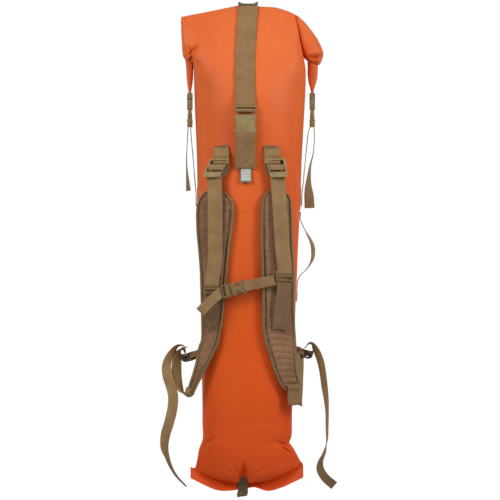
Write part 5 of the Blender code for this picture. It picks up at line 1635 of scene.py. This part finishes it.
for side in SIDES:
    settle(make_lower_anchor(side), "webbing", "bag", f"lower_anchor_{side}")
    route, twist = LOWER_STRANDS[side]
    strand, line = free_strap(f"lower_webbing_{side}_strand", route, twist, NARROW_WEB, STRAP_LIGHT, 8)
    bend(strand, "webbing", ("bag", "harness"), (-0.480, -0.585), f"lower_webbing_{side}")

# ---- sternum strap ------------------------------------------------------------------


def sternum_y(z):
    return front_line(z) - STANDOFF


def make_slider(side):
    """Flat loop round the shoulder webbing; the right one has an upright bar for the chest strap."""
    x, z = SLIDER_X[side], SLIDER_Z[side]
    half, band = SLIDER_HALF, 0.0070
    lean = Vector((0, front_line(z + 0.05) - front_line(z - 0.05), 0.1)).normalized()
    place = frame_at((x, sternum_y(z), z), (1, 0, 0), lean)
    opening = SHOULDER_WEB / 2 + 0.0006
    parts = []
    for lift in (-0.0028, 0.0028):
        for v in (-band + 0.0022, band - 0.0022):
            parts.append(plate("rail", rectangle(-half, half, v - 0.0021, v + 0.0021), [], 0.0018, 0.0007,
                               place @ Matrix.Translation((0, 0, lift)), SMALL_PLASTIC, 0.0010))
    for turn in (-1, 1):
        post = rectangle(turn * (opening + 0.0001), turn * half, -band, band)
        parts.append(plate("post", post, [], 0.0074, 0.0008, place, SMALL_PLASTIC, 0.0006))
    if side == "right":
        outline = rectangle(-half - 0.0080, -half + 0.0018, -0.0180, 0.0180)
        slot = [rectangle(-half - 0.0054, -half - 0.0012, -0.0145, 0.0145)]
        parts.append(plate("bar", outline, slot, 0.0046, 0.0009, place, SMALL_PLASTIC, 0.0020))
    settle(joined(f"sternum_slider_{side}_moulding", parts), "buckle_plastic", "sternum",
           f"sternum_slider_{side}")


for side in SIDES:
    make_slider(side)

ALONG = Vector((cos(STERNUM_TILT), 0, sin(STERNUM_TILT)))
UPWARD = Vector((-sin(STERNUM_TILT), 0, cos(STERNUM_TILT)))
FRONT = Vector((0, -1, 0))
sternum_plane = sternum_y(STERNUM_START[1]) - STERNUM_LIFT
start = Vector((STERNUM_START[0], sternum_plane, STERNUM_START[1]))
mouth = start + ALONG * MALE_FRAME
sternum_place = frame_at(mouth, -ALONG, UPWARD)
male_half("sternum_male", sternum_place, SMALL_WIDTH, NARROW_WEB, "sternum", "sternum_buckle_male",
          SMALL_PLASTIC, near=0.0068)
female_half("sternum_female", sternum_place, SMALL_WIDTH, STERNUM_FEMALE, NARROW_WEB, 0.0112, "sternum_latch",
            "sternum_buckle_female", SMALL_PLASTIC,
            [rectangle(-0.0225, -0.0095, 0.0050, 0.0092), rectangle(-0.0225, -0.0095, -0.0092, -0.0066)])

bar = mouth - ALONG * MALE_BAR
path = [start - ALONG * 0.0005 - FRONT * BAR_LEG]
path += [bar + (ALONG * sin(a) - FRONT * cos(a)) * BAR_LEG for a in np.linspace(0, pi, 9)]
left_loop = strap("sternum_webbing_left_loop", path, UPWARD, NARROW_WEB - 0.001, STRAP_LIGHT)
settle(left_loop, "webbing", "sternum", "sternum_webbing_left")

y = sternum_plane
tail_route = [bar - FRONT * 0.0042 - ALONG * 0.0010, start - FRONT * 0.0040 + ALONG * 0.0020,
              start + FRONT * 0.0020 - ALONG * 0.0065 + Vector((0, 0, -0.0030)),
              Vector((-0.0860, y - 0.0092, -0.3410)), Vector((-0.0985, y - 0.0095, -0.3530)),
              Vector((-0.1110, y - 0.0080, -0.3655)), Vector((-0.1220, y - 0.0065, -0.3765))]
tail_across = Vector((-0.70, 0, 0.71))
tail_twist = [UPWARD, UPWARD, (-0.36, 0, 0.93), (-0.50, 0, 0.86), (-0.66, 0, 0.75), tail_across, tail_across]
tail, line = free_strap("sternum_tail_webbing", tail_route, tail_twist, NARROW_WEB, STRAP_LIGHT, 7,
                        ripple=0.0006, seed=6)
folded, _ = free_strap("fold", [line[-22] + FRONT * 0.0017, line[-11] + FRONT * 0.0018,
                                line[-1] + FRONT * 0.0017],
                       [tail_across] * 3, NARROW_WEB, STRAP_LIGHT, 6)
along_tail = (line[-1] - line[-10]).normalized()
hem = stitches("hem", [(line[-1] - along_tail * d + tail_across * 0.0105 + FRONT * 0.0028,
                        line[-1] - along_tail * d - tail_across * 0.0105 + FRONT * 0.0028)
                       for d in (0.0030, 0.0120)], FRONT)
settle(joined("sternum_tail_sewn", [tail, folded, hem]), "webbing", "sternum", "sternum_tail")

far_bar = mouth + ALONG * (STERNUM_FEMALE - BAR_INSET)
end = Vector((SLIDER_X["right"] - SLIDER_HALF - 0.0040, sternum_y(-0.298) - STERNUM_LIFT / 2,
              SLIDER_Z["right"] - 0.0046))
parts = []
for offset, splay, seed in ((-0.0017, 0.020, 1), (0.0016, -0.035, 2)):
    points = [far_bar - ALONG * 0.0005 - FRONT * (BAR_LEG * (1 if offset > 0 else -1)),
              far_bar + ALONG * 0.0110 - FRONT * (BAR_LEG * 0.6 * (1 if offset > 0 else -1)),
              far_bar + ALONG * 0.0240 - FRONT * offset, (far_bar * 0.5 + end * 0.5) - FRONT * offset,
              end - FRONT * offset + Vector((0, 0, splay * 0.03))]
    sides = [UPWARD, UPWARD, UPWARD + ALONG * splay, UPWARD + ALONG * splay * 2, UPWARD + ALONG * splay * 3]
    layer, _ = free_strap("layer", points, sides, NARROW_WEB + (0.002 if offset > 0 else 0), STRAP, 6,
                          ripple=0.0007, seed=seed)
    parts.append(layer)
loop = [far_bar - ALONG * cos(a) * BAR_LEG + FRONT * sin(a) * BAR_LEG
        for a in np.linspace(-pi / 2, pi / 2, 8)]
parts.append(strap("loop", loop, UPWARD, NARROW_WEB - 0.001, STRAP))
right_piece = joined("sternum_webbing_right_layers", parts)
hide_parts("sternum_webbing_right")
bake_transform(right_piece)

# ---- handles ------------------------------------------------------------------------


def on_side(z, off=0.0016):
    return Vector((side_face(z, "right") + off, MID_Y, z))


across = Vector((0, 1, 0))
upper_end = [on_side(-0.128), on_side(-0.138), (0.1265, MID_Y, -0.1480), (0.1290, MID_Y, -0.1530),
             (0.1315, MID_Y, -0.1595)]
grip = [(0.1318, MID_Y, -0.1600), (0.1420, MID_Y, -0.1800), (0.1545, MID_Y, -0.2040),
        (0.1590, MID_Y, -0.2240), (0.1560, MID_Y, -0.2480), (0.1440, MID_Y, -0.2690), (0.1290, MID_Y, -0.2836)]
lower_end = [(0.1287, MID_Y, -0.2840), (0.1235, MID_Y, -0.2920), on_side(-0.302, 0.0020),
             on_side(-0.325), on_side(-0.352)]
for name, points, body, replaced in (
        ("side_handle_upper_webbing", upper_end, "bag", "side_handle_end_upper"),
        ("side_handle_grip", grip, "side_handle", "side_handle"),
        ("side_handle_lower_webbing", lower_end, "bag", "side_handle_end_lower")):
    line = smooth_through(points, 6)
    turned = [Vector((0.42 * bump(p.z, -0.222, 0.058), 1, 0)) for p in line]
    piece = strap(name, line, turned if body == "side_handle" else across, NARROW_WEB, STRAP,
                  ripple=0.0003, seed=9)
    settle(piece, "webbing", body, replaced)
for name, z in (("side_handle_upper_stitches", -0.1335), ("side_handle_lower_stitches", -0.3400)):
    box = stitch_box(name, (side_face(z, "right") + 0.0029, MID_Y, z), (0, 1, 0), (0.1, 0, 1), 0.0095,
                     0.0040 if z > -0.2 else 0.0095, (1, 0, 0), z < -0.2)
    settle(box, "webbing", "bag")

# the bottom loop is drawn in the dark thread colour: painted shade for the shadow under the fin
leg_end = BOTTOM_LOOP_Z + 0.0027
for face, turn in (("front", -1), ("back", 1)):
    path = [Vector((BOTTOM_LOOP_X + aside, MID_Y + turn * out, z)) for aside, out, z in (
        (0.0005, 0.0105 if turn < 0 else 0.0090, -0.7830), (0.0004, 0.0086, -0.7900),
        (0.0002, 0.0074, -0.8000), (0, 0.0058, -0.8100), (0, 0.0052, leg_end))]
    if turn < 0:
        path = [p - Vector((0, 0.0056, 0)) if p.z > -0.816 else p - Vector((0, 0.0018, 0)) for p in path]
    line = smooth_through(path, 4)
    piece = strap(f"bottom_loop_{face}_webbing", line, Vector((1, 0, 0)), NARROW_WEB, THREAD)
    settle(piece, "webbing", "bag", f"bottom_loop_{face}")
z = BOTTOM_LOOP_Z
path = [(BOTTOM_LOOP_X, MID_Y - 0.0064, z + 0.0018), (BOTTOM_LOOP_X - 0.0010, MID_Y - 0.0062, z - 0.0060)]
path += turn_about(MID_Y, z - 0.0098, 0.0058, 190, 350, 10, BOTTOM_LOOP_X - 0.0025)
path += [(BOTTOM_LOOP_X - 0.0005, MID_Y + 0.0056, z - 0.0060), (BOTTOM_LOOP_X, MID_Y + 0.0050, z + 0.0018)]
line = smooth_through(path, 3)
loop = strap("bottom_loop_webbing", line, Vector((1, 0, 0.14)), NARROW_WEB, THREAD, ripple=0.0004, seed=2)
settle(loop, "webbing", "bottom_loop", "bottom_loop")

# ---- light and floor ----------------------------------------------------------------

WORLD_LOW, WORLD_HIGH = 0.08, 0.46      # brightness of the surroundings, from below to above

SCENE.view_settings.view_transform = "Standard"
world = bpy.data.worlds.new("studio")
world.use_nodes = True
sky = world.node_tree
backdrop = sky.nodes["Background"]
backdrop.inputs["Strength"].default_value = 1.0
direction = sky.nodes.new("ShaderNodeTexCoord")
parts_of = sky.nodes.new("ShaderNodeSeparateXYZ")
sky.links.new(direction.outputs["Generated"], parts_of.inputs[0])


def sky_range(value, *limits):
    """A range node of the world: from low, from high, to low, to high."""
    made = sky.nodes.new("ShaderNodeMapRange")
    for key, limit in zip(("From Min", "From Max", "To Min", "To Max"), limits):
        made.inputs[key].default_value = limit
    sky.links.new(value, made.inputs["Value"])
    return made.outputs[0]


height = sky_range(parts_of.outputs[2], -1.0, 1.0, WORLD_LOW, WORLD_HIGH)
behind = sky_range(parts_of.outputs[1], 0.55, 0.97)
blend = sky.nodes.new("ShaderNodeMix")
sky.links.new(behind, blend.inputs[0])
sky.links.new(height, blend.inputs[2])
blend.inputs[3].default_value = 1.0
sky.links.new(blend.outputs[0], backdrop.inputs["Color"])
SCENE.world = world


def softbox(name, location, target, size, power):
    lamp = bpy.data.lights.new(name, "AREA")
    lamp.shape = "RECTANGLE"
    lamp.size, lamp.size_y = size
    lamp.energy = power
    made = add_object(name, lamp)
    made.location = location
    made.rotation_euler = (Vector(target) - Vector(location)).to_track_quat("-Z", "Y").to_euler()


softbox("left", (-1.45, -1.35, 1.05), (0, 0.1, -0.12), (0.8, 0.9), 24)
softbox("right", (1.75, -1.25, 0.85), (0, 0.1, -0.12), (0.6, 1.1), 29)

bm = bmesh.new()
bmesh.ops.create_circle(bm, cap_ends=True, segments=96, radius=1.25)
floor_disc = finish_mesh("floor", bm, LABEL)
floor_disc.location = (0, 0.1, -0.97)
floor_mat = Shader("floor_paper", 0.9, 0.2)
floor_mat.surface.inputs["Base Color"].default_value = (0.60, 0.60, 0.60, 1)
floor_disc.data.materials[0] = floor_mat.mat
